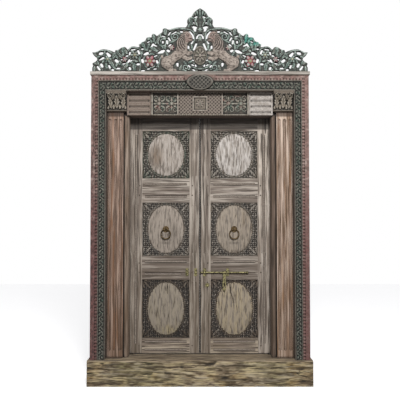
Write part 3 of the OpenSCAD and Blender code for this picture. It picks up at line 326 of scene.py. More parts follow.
def stain(tree, color, over, pattern, *limits):  # a second colour over the first, by a smooth step
    step = {"Value": pattern, **smoothRange(*limits)}
    share = addNode(tree, "MapRange", step, interpolation_type="SMOOTHSTEP")
    return addNode(tree, "Mix", {0: share.outputs[0], 6: color, 7: over}, data_type="RGBA").outputs[2]


def streaks(tree, across, along, axis, detail=5.0, offset=0.0, rough=0.6):
    # noise drawn out along the grain; across and along are the size of a streak in millimetres
    scale = [1000 / across] * 3
    scale["xyz".index(axis)] = 1000 / along
    place = addNode(tree, "TexCoord", {}).outputs["Object"]
    shift = (offset, offset * 0.7, offset * 1.3)
    place = addNode(tree, "Mapping", {"Vector": place, "Scale": scale, "Location": shift}).outputs[0]
    noise = {"Vector": place, "Scale": 1.0, "Detail": detail, "Roughness": rough}
    return addNode(tree, "TexNoise", noise).outputs["Fac"]


def surface(tree, shader, color, height, strength, depth):  # colour and fine relief for the shader
    bump = addNode(tree, "Bump", {"Height": height, "Strength": strength, "Distance": depth})
    tree.links.new(color, shader.inputs["Base Color"])
    tree.links.new(bump.outputs[0], shader.inputs["Normal"])


def weatheredTeak(name, look):
    # old teak bleached by sun: pale ridges, dark open grain, darker toward the foot, painted shade with dirt
    # in every corner; where set, painted shade along the meeting edge and a painted shadow under the head
    material, tree, shader = newMaterial(name, Roughness=0.8)
    seed, axis = look.get("seed", 0.0), look["axis"]
    fine = streaks(tree, look["grain"], look["grain"] * 30, axis, 6.0, seed)
    broad = streaks(tree, look["streak"], look["streak"] * 16, axis, 4.0, seed + 7)
    patch = streaks(tree, look["patch"], look["patch"] * look.get("run", 2), axis, 3.0, seed + 13)
    place = addNode(tree, "TexCoord", {}).outputs["Object"]
    place = addNode(tree, "SeparateXYZ", {"Vector": place})
    # ambient occlusion darkens corners, grooves and recesses: painted shade, together with dirt
    corner = addNode(tree, "AmbientOcclusion", {"Distance": look["cornerShadeReach"]}, samples=6)
    color = stain(tree, look["mid"], look["pale"], broad, 0.4, 0.6)
    color = stain(tree, color, look["dark"], fine, 0.53, 0.38, look.get("open", 0.95))
    color = stain(tree, color, look["tint"], patch, 0.5, 0.7, look.get("stain", 0.6))
    color = stain(tree, color, look["low"], place.outputs["Z"], *look["lowFrom"], look.get("fall", 0.35))
    color = stain(tree, color, look["shadeAndDirt"], corner.outputs["AO"], *look.get("cornerShadeShare", (0.78, 0.3)), 0.92)
    # painted shade along the meeting edge: the wood nearest the middle of the door is darkened
    if "meeting" in look:
        inward = addNode(tree, "Math", {0: place.outputs["X"]}, operation="ABSOLUTE").outputs[0]
        color = stain(tree, color, look["shadeAndDirt"], inward, look["meeting"], look["meeting"] / 2, 0.95)
    # painted shadow under the head: the wood above these two heights is darkened
    if "headShadow" in look:
        color = stain(tree, color, look["shadeAndDirt"], place.outputs["Z"], *look["headShadow"], 0.75)
    surface(tree, shader, color, fine, 0.6, 0.0025)
    return material


def carvedPaint(name, look):
    # carved teak with the last of its paint: colour on motifs, painted shade with black dirt in hollows, a
    # pale painted highlight with dust on high spots
    material, tree, shader = newMaterial(name, Roughness=0.85)
    paint = addNode(tree, "Attribute", {}, attribute_name="paint").outputs["Color"]
    shadeAndGrime = addNode(tree, "Attribute", {}, attribute_name="shadeAndGrime").outputs["Fac"]
    axis = look.get("axis", "x")
    worn = streaks(tree, *look.get("wear", (26, 26)), axis, 6.0, 3.0, 0.7)
    fine = streaks(tree, *look.get("grain", (5, 14)), axis, 5.0)
    color = stain(tree, paint, look["wood"], worn, 0.42, 0.62, look["bare"])
    color = stain(tree, color, look["dark"], fine, 0.56, 0.36, look.get("open", 0.5))
    # a pale painted highlight on the rubbed high spots, together with dust
    high, rubbed = [addNode(tree, "MapRange", {"Value": value, **smoothRange(*limits)},
                            interpolation_type="SMOOTHSTEP").outputs[0]
                    for value, limits in ((shadeAndGrime, (0.44, 0.1, look["paintedLightAndDust"])), (worn, (0.34, 0.6)))]
    paintedLightAndDust = addNode(tree, "Math", {0: high, 1: rubbed}, operation="MULTIPLY").outputs[0]
    color = addNode(tree, "Mix", {0: paintedLightAndDust, 6: color, 7: look["pale"]}, data_type="RGBA").outputs[2]
    # painted shade with dirt: the hollows darken toward the dirt colour
    color = stain(tree, color, look["shadeAndDirt"], shadeAndGrime, 0.5, 0.9, look.get("deep", 0.94))
    surface(tree, shader, color, fine, 0.5, 0.0012)
    return material


def agedMetal(name, look):
    # hand-forged metal gone dark: bright where hands rub it, dull and pitted in between
    material, tree, shader = newMaterial(name, Metallic=1.0)
    cloud = streaks(tree, 14, 14, "x", 5.0)
    pits = streaks(tree, 3, 3, "x", 3.0)
    edge = addNode(tree, "AmbientOcclusion", {"Distance": 0.006}, samples=6)
    color = stain(tree, look["dark"], look["mid"], cloud, 0.38, 0.64)
    color = stain(tree, color, look["shadeAndDirt"], edge.outputs["AO"], 0.75, 0.35, 0.85)
    polish = smoothRange(0.35, 0.7, look["rough"] - 0.1, look["rough"] + 0.15)
    rough = addNode(tree, "MapRange", {"Value": cloud, **polish}, interpolation_type="SMOOTHSTEP")
    tree.links.new(rough.outputs[0], shader.inputs["Roughness"])
    surface(tree, shader, color, pits, 0.4, 0.0008)
    return material


def seenRays(tree):  # 1 for what the eye sees, also mirrored or through glass, and 0 for light that bounces
    path = addNode(tree, "LightPath", {})
    rays = path.outputs["Is Camera Ray"]
    for kind in ("Is Glossy Ray", "Is Transmission Ray"):
        rays = addNode(tree, "Math", {0: rays, 1: path.outputs[kind]}, operation="MAXIMUM").outputs[0]
    return rays


# grain, streak and patch are in millimetres and heights in metres: the low colour comes in between the two
# of lowFrom, and above the two heights of the shadow band the wood is darkened, a painted shadow of the head
leafWood = {"grain": 10, "streak": 26, "patch": 150, "pale": "#b8ada1", "mid": "#7c7066", "dark": "#3d342c",
            "tint": "#75695d", "low": "#5c4f43", "lowFrom": (1.7, 0.3), "shadeAndDirt": "#15110d",
            "cornerShadeReach": 0.035, "axis": "z"}
headShadowedWood = {**leafWood, "headShadow": (2.078, 2.092)}
stileTeak = weatheredTeak("bleachedTeakUpright", {**headShadowedWood, "low": "#776955", "meeting": 0.009})
# a paler copy of the stile teak for the right hinge stile: painted light
litStileTeak = weatheredTeak("litTeakUpright", {
    **headShadowedWood, "pale": "#d2c6b9", "mid": "#94877b", "seed": 6.0})
railTeak = weatheredTeak("bleachedTeakLevel", {**headShadowedWood, "axis": "x", "fall": 0.6, "seed": 4.0})
footTeak = weatheredTeak("dustyTeakFoot", {
    **leafWood, "pale": "#b9ab97", "mid": "#85776a", "tint": "#7d6f5c", "axis": "x", "fall": 0.0,
    "seed": 5.0})
# the top of each pilaster under its capital is darkened: painted shade of the gap under the capital
fluted = {**leafWood, "patch": 26, "run": 18, "stain": 0.75, "cornerShadeReach": 0.024, "cornerShadeShare": (0.93, 0.62),
          "headShadow": (2.166, 2.178)}
leftPilasterTeak = weatheredTeak("brownTeakPilaster", {
    **fluted, "pale": "#b9a090", "mid": "#8c7464", "dark": "#4d3c2e", "tint": "#8a5c36", "low": "#60452c",
    "shadeAndDirt": "#2a1d14", "seed": 9.0})
rightPilasterTeak = weatheredTeak("paleTeakPilaster", {
    **fluted, "pale": "#cfbaa9", "mid": "#a48c7a", "dark": "#5c4833", "tint": "#98704c", "low": "#7d6048",
    "shadeAndDirt": "#33241a", "seed": 11.0})
jambTeak = weatheredTeak("greyTeakJamb", {
    **leafWood, "pale": "#a08f80", "mid": "#7e6c5e", "dark": "#433629", "tint": "#75604c", "low": "#65523f",
    "seed": 13.0})
# a darker copy of the jamb teak for the right jamb: painted shade
shadedJambTeak = weatheredTeak("shadedTeakJamb", {
    **leafWood, "pale": "#7a685b", "mid": "#5b4b3f", "dark": "#30261d", "tint": "#564636", "low": "#4a3b2d",
    "seed": 14.0})
darkWood = {**leafWood, "pale": "#6d5d54", "mid": "#57483f", "dark": "#332923", "tint": "#4d433a",
            "low": "#43372f"}
frameTeak = weatheredTeak("darkTeakFrame", {**darkWood, "seed": 15.0})
headTeak = weatheredTeak("darkTeakLevel", {**darkWood, "axis": "x", "seed": 17.0})
crestRailTeak = weatheredTeak("bareTeakRail", {
    **leafWood, "pale": "#b9b2a9", "mid": "#877f76", "dark": "#4d463e", "tint": "#827f76", "axis": "x",
    "streak": 40, "open": 0.8, "seed": 21.0})
greenPaint = carvedPaint("greenPaintOnCarvedTeak", {
    "wood": "#67625a", "dark": "#1f211d", "pale": "#aebdb4", "shadeAndDirt": "#0b0c0a", "bare": 0.5, "paintedLightAndDust": 0.85})
bandPaint = carvedPaint("dirtyPaintOnCarvedTeak", {
    "wood": "#5a5148", "dark": "#1f1d19", "pale": "#8d8a80", "shadeAndDirt": "#0b0a08", "bare": 0.6, "paintedLightAndDust": 0.5})
panelPaint = carvedPaint("waxedTeakPanel", {
    "wood": "#7d6f5f", "dark": "#3f3427", "pale": "#b9b1a8", "shadeAndDirt": "#0e0c0a", "bare": 0.55, "paintedLightAndDust": 0.65,
    "axis": "z", "wear": (17, 110), "grain": (11, 90), "open": 0.9})
leftMouldingPaint = carvedPaint("darkPinkPaintOnTeak", {
    "wood": "#3b2d2a", "dark": "#2c211d", "pale": "#806b65", "shadeAndDirt": "#15100d", "bare": 0.85, "paintedLightAndDust": 0.3,
    "wear": (16, 40), "axis": "z", "deep": 0.9})
mouldingPaint = carvedPaint("pinkPaintOnTeak", {
    "wood": "#6f5b52", "dark": "#3d2d28", "pale": "#bda79f", "shadeAndDirt": "#1d1512", "bare": 0.7, "paintedLightAndDust": 0.5,
    "wear": (16, 36), "deep": 0.9})
greyPaint = carvedPaint("greyPaintOnCarvedTeak", {
    "wood": "#786c60", "dark": "#2e2924", "pale": "#b5aea2", "shadeAndDirt": "#0e0c09", "bare": 0.5, "paintedLightAndDust": 0.75})
bronze = agedMetal("darkBronze", {"dark": "#2f271c", "mid": "#5f4f38", "shadeAndDirt": "#120e08", "rough": 0.4})
brass = agedMetal("agedBrass", {"dark": "#4d4936", "mid": "#827b58", "shadeAndDirt": "#211e14", "rough": 0.5})
print("materials made")


# Crest: a design on a carver's grid, in squares out from the middle and up from the rail

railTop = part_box("crest_rail")[1].z
crest = {"half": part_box("crest_right_wing")[1].x, "height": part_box("crest_finial")[1].z - railTop,
         "base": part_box("crest_right_wing")[1].y - 0.021, "back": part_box("crest_right_wing")[1].y,
         "step": 0.0026, "squares": (109.2, 64), "wingTop": 27, "finialHalf": 15, "finialFoot": 0.705,
         "round": 0.011, "line": 0.0035, "broad": 1.2, "ringAt": (50.7, 10.5, 7.6), "ringWidth": 1.7,
         "turquoiseAt": (45, 62, 26),
         "green": "#3e4a45", "leaf": "#52645c", "gray": "#5b5a52", "turquoise": "#3f8f80", "pink": "#a3505c",
         "ochre": "#877749", "bark": "#2e322e", "pale": "#7f8079"}
square = crest["half"] / crest["squares"][0]


def at(u, v):  # a place on the crest from its shares
    return np.array([u * crest["half"], railTop + v * crest["height"]])


def onGrid(u, v):  # a place on the crest from its squares
    return at(u / crest["squares"][0], v / crest["squares"][1])


crestEdge = [(109, -2), (109, 4), (108.2, 6), (108.8, 8.5), (106.2, 10), (104.2, 12), (104.7, 14.5),
             (107.2, 16.5), (109, 19.5), (106.2, 19.7), (103.2, 21), (100.2, 22.4), (97.2, 22.8),
             (93.2, 22.2), (89.2, 21), (86.2, 19.8), (85.6, 21.8), (82.7, 22.2), (80.2, 24), (77.7, 25),
             (75.2, 24.7), (73.2, 22.5), (71.7, 23.7), (69.2, 25.4), (66.2, 25.6), (63.2, 25),
             (61.5, 25.2), (61.9, 27.5), (60.2, 28.2), (58.7, 29.8), (56.7, 30.5), (55, 32.2), (54.2, 34),
             (51.7, 34.9), (49.2, 34.8), (48.9, 37), (47.4, 38.2), (45.2, 37.5), (43.7, 36.2),
             (41.2, 37.8), (38.2, 40.2), (37.6, 43), (34.9, 43.8), (32.7, 42.7), (30.2, 42.7),
             (25.2, 44.2), (20.2, 44.7), (15.2, 44.7), (14, 45.4), (12.7, 48), (13.2, 51), (11.7, 53.7),
             (8.7, 55.4), (7.9, 56.8), (5.7, 60), (3.2, 62), (1.2, 63.3), (0, 64)]
crestOutline = np.vstack([smoothPath([onGrid(*p) for p in crestEdge], 4), [onGrid(-6, 64), onGrid(-6, -2)]])
# piercings: both round ends, each a place and a radius
crestHoles = [
    ((101, 18.6, 1.7), (99.6, 18.8, 1.7)), ((94.2, 19.2, 1), (91.8, 16.4, 1.6)),
    ((101.6, 12.4, 0.8), (98.2, 14.2, 1.4)), ((100.2, 8, 1.2), (98.9, 5.6, 1.2)),
    ((104, 5.8, 0.8), (101.5, 2.4, 0.9)), ((92.4, 6.8, 0.8), (91.3, 4.4, 1)),
    ((88.9, 2.5, 1.1), (87.9, 2.2, 1.1)), ((85.3, 12, 1.4), (83.6, 10.6, 1.5)),
    ((83.7, 3.8, 1.1), (81.7, 3.8, 1)), ((79.7, 12.6, 0.8), (78.9, 12.6, 0.8)),
    ((78, 8.4, 0.8), (76, 8.6, 0.8)), ((74.4, 16.2, 1), (73.5, 16.4, 1)),
    ((72.8, 10.2, 1.1), (71.6, 12.4, 1)), ((71.5, 10.8, 0.9), (69, 12, 0.8)),
    ((71.4, 17.9, 1), (71, 19.8, 1)), ((69.3, 22.4, 0.9), (66.2, 22.9, 0.9)),
    ((62.9, 21.7, 0.9), (61.5, 18.6, 1)), ((63.2, 8, 1.3), (62, 8, 1.3)),
    ((71.5, 4.6, 1), (70.7, 3, 1.1)), ((79.6, 0.6, 0.9), (75.9, 0.6, 0.9)),
    ((58.8, 23.2, 1), (58, 23.2, 1)), ((56, 18, 1.3), (53.5, 19, 1.7)),
    ((58.6, 12.6, 1.2), (57.8, 10.2, 1.3)), ((58.6, 1, 1.5), (57.2, 1, 1.5)),
    ((53, 30, 0.8), (51.6, 30.6, 0.8)), ((48.9, 26, 1), (47.6, 28, 1.2)),
    ((47, 27.4, 1.1), (44.3, 26.2, 0.8)), ((42, 19.4, 1), (38.6, 20.6, 1.9)),
    ((38, 20.8, 1.7), (37, 21.4, 1.5)), ((46.2, 15.8, 0.8), (44, 16.8, 0.8)),
    ((38.6, 15.6, 0.8), (37.8, 14.2, 0.8)), ((43.9, 11.8, 0.8), (43, 9.6, 1.2)),
    ((38.2, 36.2, 0.8), (36.2, 35.8, 0.8)), ((31.9, 37.4, 0.8), (30.2, 40, 0.8)),
    ((28, 38.4, 0.8), (24.6, 40.4, 0.9)), ((37.7, 31, 0.8), (37.7, 29.2, 0.8)),
    ((33.6, 31.8, 0.8), (33.2, 28.6, 0.8)), ((32, 34.6, 0.8), (30.2, 31.6, 0.8)),
    ((31.6, 26.2, 0.8), (29.9, 27.6, 1)), ((32.8, 21.8, 1.3), (31.8, 21.2, 1.5)),
    ((19.4, 40.6, 1.1), (17.4, 40.4, 1.2)), ((12.8, 39.8, 1.1), (10.4, 40, 1.4)),
    ((9.6, 39.4, 1.2), (7.6, 37.4, 1)), ((7.2, 36.6, 0.9), (6.5, 33.8, 0.8)),
    ((7.4, 31.2, 0.8), (8.6, 28.8, 0.9)), ((11.9, 26.2, 0.9), (11.6, 24, 1)),
    ((3.8, 28.4, 1), (6.2, 22.6, 1)), ((6.6, 45.2, 1.4), (4.4, 44.6, 1.5)),
    ((5.4, 43, 1.4), (4.9, 41.4, 1)), ((3.3, 33.8, 0.8), (2.6, 36.2, 0.9)),
    ((1.6, 37.4, 0.9), (0, 37.6, 0.9)), ((22.9, 8.6, 1.2), (22.6, 6.2, 0.8)),
    ((11.6, 6.8, 0.8), (10.2, 5.2, 0.8)), ((12.6, 0.5, 0.9), (11.4, 0.5, 0.9)),
    ((9.4, 13, 0.8), (6.8, 11.9, 0.8)), ((8, 7.6, 0.8), (6.6, 6.8, 0.8)),
    ((4.6, 7.3, 0.8), (4.2, 6, 0.8)), ((7, 2.6, 0.8), (5.6, 1.9, 0.8)),
    ((1.6, 0.5, 0.9), (0, 0.5, 0.9)), ((53, 3.2, 0.8), (51.4, 3.5, 0.8)),
    ((46.4, 3.2, 0.8), (44.6, 3.4, 0.8)), ((4.8, 55, 1), (3.4, 55.6, 1)), ((6.4, 49.8, 0.8), (6, 49.4, 0.8))]
crestStems = [
    [(60.6, 0), (60.4, 8), (59.8, 15), (60.4, 20.5)],
    [(31, 42), (25.5, 43), (19, 43.2), (13.5, 42.6), (9, 41.4), (6, 38.6), (5.4, 34), (6.4, 30), (8.8, 26)],
    [(106.4, 18.2), (103, 20), (98.5, 21.4), (93, 20.8), (88.5, 18.2), (86, 14)],
    [(72.6, 21), (70, 24), (66.2, 24.3), (63, 23.6), (60.8, 22)],
    [(84.6, 14.4), (80.4, 9.6), (75.4, 4.4), (71.6, 1)], [(64, 14.6), (68.4, 8.6), (73, 5), (78, 2)],
    [(15, 11), (11.4, 9.6), (8.6, 5.4), (4.4, 3.6), (0, 3)], [(0, 39), (0, 56)],
    [(96, 0), (95.6, 6), (94.4, 10)], [(37.4, 16.6), (40.6, 12.6), (41, 8), (44, 4.8)]]
# leaves: middle, length, width and angle from the horizontal; flowers: middle, radius, colour, heart
crestLeaves = [
    (57.4, 26.6, 9, 3.8, 60), (51.6, 32.4, 6, 3.4, 70), (46.6, 33.4, 8, 3.2, 85), (42, 32.6, 8, 2.8, 100),
    (35.2, 40, 6.5, 4, 90), (46.8, 22.6, 9, 3.8, 30), (52.4, 25, 7, 3, 110), (27.2, 30.4, 6, 2.4, 150),
    (19.4, 4, 6, 3, 110), (54.8, 6, 8, 3, 60), (38.4, 25.4, 6, 2.4, 60), (44, 30, 6, 2.6, 120),
    (55.4, 22.4, 6, 2.8, 20), (50.6, 20.6, 5, 2.4, 150), (33.4, 17.8, 6, 2.6, 60), (35.2, 25, 5, 2.4, 100),
    (42.6, 6.6, 5, 2.4, 70), (28.6, 34.6, 5, 2.2, 60), (22, 38.4, 5, 2.2, 20), (14.8, 8.6, 5, 2.4, 40),
    (9.8, 9.8, 5, 2.2, 150), (17, 1.8, 5, 2.2, 10), (8.2, 24.4, 6, 2.4, 80), (9.8, 21.6, 5, 2.2, 60),
    (59, 18, 6, 2.6, 100), (49, 30, 5, 2.6, 60), (39.8, 36, 5, 2.4, 60), (48.4, 17.6, 5, 2.4, 20),
    (106, 16.8, 5, 2.6, 30), (96.4, 18, 5, 3, 100), (94.6, 6, 6, 3, 80), (86.8, 16, 7, 4, 120),
    (88.4, 7, 8, 3.6, 60), (105.4, 8.4, 5, 3, 30), (83.2, 19.6, 6, 3, 100), (77.6, 21.2, 7, 4.4, 85),
    (80.8, 16.4, 7, 3.4, 45), (66.4, 5, 8, 4.2, 85), (75, 5, 7, 3, 130), (81, 7.6, 6, 2.6, 30),
    (103.4, 14.6, 5, 2.4, 160), (97.6, 10.4, 5, 2.4, 130), (103, 9, 4, 2.2, 70), (106.6, 3, 5, 2.4, 95),
    (90.4, 10, 5, 2.4, 110), (84.4, 15, 5, 2.6, 60), (84, 7.4, 5, 2.4, 110), (77.8, 17.2, 5, 2.6, 120),
    (74.6, 20, 5, 2.8, 70), (68.8, 9, 6, 2.6, 40), (73.4, 7.4, 5, 2.4, 70), (68.4, 20.2, 4, 2.2, 110),
    (61, 13, 6, 2.4, 90), (65.4, 10.8, 5, 2.4, 20), (86, 3.4, 5, 2.2, 20), (93.4, 17, 4, 2.2, 60),
    (0, 59.4, 8, 2.2, 90), (2.7, 58.6, 6.6, 1.8, 78), (5, 57.8, 5, 1.6, 60), (9.4, 50.6, 8, 4, 62),
    (8.2, 54, 4.4, 2.2, 20), (10.6, 46.8, 5, 2.4, 120), (4.4, 52, 6, 2.2, 110), (3.4, 47.6, 5, 2, 70)]
crestFlowers = [
    (50.7, 10.5, 6.4, "pink", "ochre"), (28.7, 24, 3, "pink", "ochre"), (93.2, 12.6, 4.2, "leaf", "ochre"),
    (76.4, 12.4, 3, "pink", "gray"), (65.8, 16.6, 4.6, "gray", "ochre"), (36, 33.4, 2.2, "gray", "leaf"),
    (0, 42, 2.6, "gray", "leaf"), (0, 33, 3, "pale", "gray"), (99.4, 16.2, 1.6, "leaf", "gray")]
crestScrolls = [(37.7, 29.8, 5.4, 60, 1.5), (25.2, 35, 4.6, 80, 1.5), (14.2, 4.2, 3.8, 200, -1.4)]


def capsule(x, z, near, far, place, unit):
    # radius at the nearest point of a bar with two round ends, and the distance to that point
    a, b = place(*near[:2]), place(*far[:2])
    d = b - a
    along = np.clip(((x - a[0]) * d[0] + (z - a[1]) * d[1]) / max((d ** 2).sum(), 1e-9), 0, 1)
    r = (near[2] + (far[2] - near[2]) * along) * unit
    return r, np.hypot(x - a[0] - along * d[0], z - a[1] - along * d[1])


def crestFace(x, z):  # distance to the outline, positive inside it, cut by every piercing
    gap, inside = np.full(x.shape, 9.0), np.zeros(x.shape, bool)
    for a, b in zip(crestOutline, np.roll(crestOutline, -1, 0)):
        d = b - a
        along = np.clip(((x - a[0]) * d[0] + (z - a[1]) * d[1]) / (d ** 2).sum(), 0, 1)
        gap = np.minimum(gap, (x - a[0] - along * d[0]) ** 2 + (z - a[1] - along * d[1]) ** 2)
        if d[1]:
            inside ^= ((a[1] > z) != (b[1] > z)) & (x < a[0] + d[0] * (z - a[1]) / d[1])
    field = np.where(inside, 1, -1) * np.sqrt(gap)
    for near, far in crestHoles:
        r, reach = capsule(x, z, near, far, onGrid, square)
        field = np.minimum(field, reach - r)
    return field


def drawCrest(x, z):
    # every strip between two piercings is rounded and scored along its edges, then leaves lie over it
    relief, ax = newRelief(x.shape), np.abs(x)
    face = crestFace(ax, z)
    body = 0.003 + 0.007 * bank(face, crest["round"]) - 0.003 * np.exp(-((face - 0.010) / crest["line"]) ** 2)
    lay(relief, face, body + 0.0015 * softNoise(x, z, 0.007, 2), crest["bark"])
    for row in crestStems:
        path = smoothPath([onGrid(*p) for p in row])
        layStem(relief, ax, z, path, 2 * square, 1.5 * square, 0.004, 0.009, crest["bark"])
    for u, v, r, start, turns in crestScrolls:
        path = spiral(*onGrid(u, v), r * square, start, turns)
        layStem(relief, ax, z, path, 2 * square, 1.3 * square, 0.004, 0.012, crest["green"])
    ringU, ringV, ringR = crest["ringAt"]
    ringPlace = (*onGrid(ringU, ringV), ringR * square)
    layRing(relief, ax, z, ringPlace, crest["ringWidth"] * square, 0.004, 0.010, crest["bark"])
    for i, (u, v, length, width, turn) in enumerate(crestLeaves):
        place = (*onGrid(u, v), length * crest["broad"] * square, width * crest["broad"] * square, turn)
        tone = ("leaf", "green", "leaf", "gray", "green")[i % 5]
        layLeaf(relief, ax, z, place, 0.006, 0.011, crest[tone], 4)
    for u, v, r, color, heart in crestFlowers:
        layFlower(relief, ax, z, (*onGrid(u, v), r * square), 0.008, 0.012, crest[color], crest[heart])
    near, far, foot = crest["turquoiseAt"]  # one patch on the right has kept its colour
    bright = (x > near * square) & (x < far * square) & (z > onGrid(0, foot)[1])
    relief["paint"][bright & (relief["rise"] > 0.009)] = linear(crest["turquoise"])
    relief["rise"] = relief["rise"] * (0.3 + 0.7 * bank(face, 0.007))
    relief["field"] = face
    return relief


def crestBoard(node, u0, u1, v0, v1):  # the part of the design between these squares
    piercedBoard(node, drawCrest, onGrid(u0, v0), onGrid(u1, v1), crest["step"], crest["base"], crest["back"],
                 greenPaint)


crestEnd, crestTop = crest["squares"]
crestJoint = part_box("crest_center")[1].x / square
crestFoot = crest["finialFoot"] * crestTop
crestBoard("crest_center", -crestJoint, crestJoint, 0, crestFoot)
crestBoard("crest_left_wing", -crestEnd, -crestJoint, 0, crest["wingTop"])
crestBoard("crest_right_wing", crestJoint, crestEnd, 0, crest["wingTop"])
crestBoard("crest_finial", -crest["finialHalf"], crest["finialHalf"], crestFoot, crestTop)


# Lions in half-round relief: limbs from one round end to the other, blended into one body

lion = {"depth": 0.52, "step": 0.0024, "base": crest["base"] - 0.012, "back": crest["back"],
        "body": "#a89c91", "mane": "#84766d", "head": "#9c857d", "spot": "#5a5149", "curl": 0.003,
        "maneAt": (0.128, 0.5), "eyeAt": (0.112, 0.562), "mouthAt": (0.086, 0.508), "squeeze": 0.6,
        "reach": (0.05, 0.38, 0.66), "headAt": (0.135, 0.45), "spotLevel": 0.78,
        "limbs": [((0.124, 0.548, 0.048), (0.112, 0.53, 0.042)),
                  ((0.106, 0.512, 0.03), (0.088, 0.502, 0.019)), ((0.14, 0.52, 0.05), (0.168, 0.44, 0.052)),
                  ((0.165, 0.42, 0.05), (0.172, 0.32, 0.056)), ((0.18, 0.3, 0.05), (0.25, 0.205, 0.042)),
                  ((0.25, 0.205, 0.044), (0.302, 0.14, 0.062)), ((0.302, 0.12, 0.058), (0.27, 0.025, 0.026)),
                  ((0.27, 0.02, 0.024), (0.232, 0.015, 0.018)), ((0.16, 0.32, 0.034), (0.11, 0.28, 0.022)),
                  ((0.11, 0.28, 0.022), (0.084, 0.295, 0.018)), ((0.165, 0.26, 0.032), (0.12, 0.2, 0.02)),
                  ((0.12, 0.2, 0.02), (0.085, 0.215, 0.016)), ((0.33, 0.17, 0.024), (0.352, 0.235, 0.014)),
                  ((0.146, 0.6, 0.02), (0.152, 0.628, 0.009))]}


def drawLion(x, z):  # each limb swells to a half round; the fifth powers of the rises add up to a smooth body
    relief, ax = newRelief(x.shape), np.abs(x)
    field, swell = np.full(x.shape, -1.0), np.zeros(x.shape)
    for near, far in lion["limbs"]:
        r, gap = capsule(ax, z, near, far, at, crest["half"])
        field = np.maximum(field, r - gap)
        swell += np.clip(r ** 2 - gap ** 2, 0, None) ** 2.5
    rise = lion["depth"] * swell ** 0.2
    u, v = ax / crest["half"], (z - railTop) / crest["height"]
    (maneU, maneV), (eyeU, eyeV), (mouthU, mouthV) = lion["maneAt"], lion["eyeAt"], lion["mouthAt"]
    rho = np.hypot(u - maneU, (v - maneV) * lion["squeeze"])
    theta = np.arctan2((v - maneV) * lion["squeeze"], u - maneU)
    mane = np.clip((u - maneU) / 0.012, 0, 1) * np.clip((v - 0.3) / 0.05, 0, 1)
    rise = rise + lion["curl"] * mane * np.cos(11 * theta + 260 * rho) * bank(field, 0.012)
    ribs = np.clip((0.3 - v) / 0.05, 0, 1) * np.clip((u - 0.2) / 0.03, 0, 1)
    rise = rise + 0.0008 * ribs * np.cos(u * 420) * bank(field, 0.012)
    eye = np.hypot(u - eyeU, (v - eyeV) * lion["squeeze"])
    rise = rise + 0.005 * np.exp(-(eye / 0.006) ** 2) - 0.004 * np.exp(-((eye - 0.012) / 0.004) ** 2)
    mouth = np.hypot(u - mouthU, (v - mouthV) * lion["squeeze"] * 2.2)
    rise = np.clip(rise - 0.009 * np.exp(-(mouth / 0.014) ** 2), 0, None)
    lay(relief, field, rise, lion["body"])
    relief["paint"][mane > 0.5] = linear(lion["mane"])
    headEdge, headFoot = lion["headAt"]
    relief["paint"][(u < headEdge) & (v > headFoot)] = linear(lion["head"])
    relief["paint"][softNoise(x, z, 0.010, 12) > lion["spotLevel"]] = linear(lion["spot"])
    return relief


lionPaint = carvedPaint("palePaintOnCarvedTeak", {
    "wood": "#7a6d64", "dark": "#352d27", "pale": "#b8aea5", "shadeAndDirt": "#1c1915", "bare": 0.6, "paintedLightAndDust": 0.5,
    "open": 0.8, "grain": (10, 22)})
lionNear, lionFar, lionTop = lion["reach"]
for side, u0, u1 in (("left", -lionFar, -lionNear), ("right", lionNear, lionFar)):
    piercedBoard("crest_" + side + "_lion", drawLion, at(u0, 0), at(u1, lionTop), lion["step"], lion["base"],
                 lion["back"], lionPaint)


# Running bands and beaded mouldings of the surround: one repeat is drawn in folded coordinates

band = {"step": 0.0026, "pitch": 0.038, "rim": 0.007, "rimRise": 0.012, "groundDepth": 0.028,
        "leaf": "#4d564e", "bud": "#55584f", "vine": "#40443d", "ground": "#1d1e1a", "rimColor": "#575047",
        "lipHighlight": "#8f8579", "speck": "#8b8c80", "moss": "#3f5a4c", "cavity": (0.009, 0.006)}


def drawRunning(along, across, width):  # wavy vine with a lobed leaf in each bend and a rim at both edges
    relief = newRelief(along.shape, 0.0, band["ground"])
    relief["rise"] = 0.004 * softNoise(along, across, 0.007)
    k = np.floor(along / band["pitch"])
    a, c = along - (k + 0.5) * band["pitch"], across * np.where(k % 2 == 0, 1, -1)
    wave = 0.2 * width * np.sin(np.pi * along / band["pitch"])
    vine = 0.0035 - np.abs(across - wave) * 0.72
    lay(relief, vine, 0.002 + 0.005 * bank(vine, 0.003), band["vine"])
    scale = width / 0.06
    layLeaf(relief, a, c, (0.001, -0.011 * scale, 0.032, 0.017 * scale, 34), 0.002, 0.009, band["leaf"], 3)
    layLeaf(relief, a, c, (0.012, 0.011 * scale, 0.023, 0.011, -42), 0.002, 0.008, band["bud"], 2)
    layFlower(relief, a, c, (-0.011, 0.012 * scale, 0.008), 0.003, 0.007, band["bud"], band["leaf"], 5)
    relief["rise"] = relief["rise"] - 0.003 * softNoise(along, across, 0.008, 34)
    fleck = softNoise(along, across, 0.007, 33)
    relief["paint"][fleck > 0.7] = linear(band["speck"])
    relief["paint"][fleck < 0.27] = linear(band["moss"])
    rim = np.abs(across) - width / 2 + band["rim"]
    lay(relief, rim, band["rimRise"] * (0.55 + 0.45 * bank(rim, 0.004)), band["rimColor"])
    return relief


bead = {"pitch": 0.026, "rim": 0.006, "step": 0.0029, "flat": 0.008, "edge": 0.12, "tooth": (0.0112, 0.2),
        "color": "#8f716a", "gap": "#5f4b44", "rimColor": "#9b7f78", "bare": "#64544c", "dusty": "#b09c93",
        "foot": "#6b3d3c", "footFrom": 1.75, "footFade": 0.5, "footShare": 0.65, "cavity": (0.009, 0.012)}


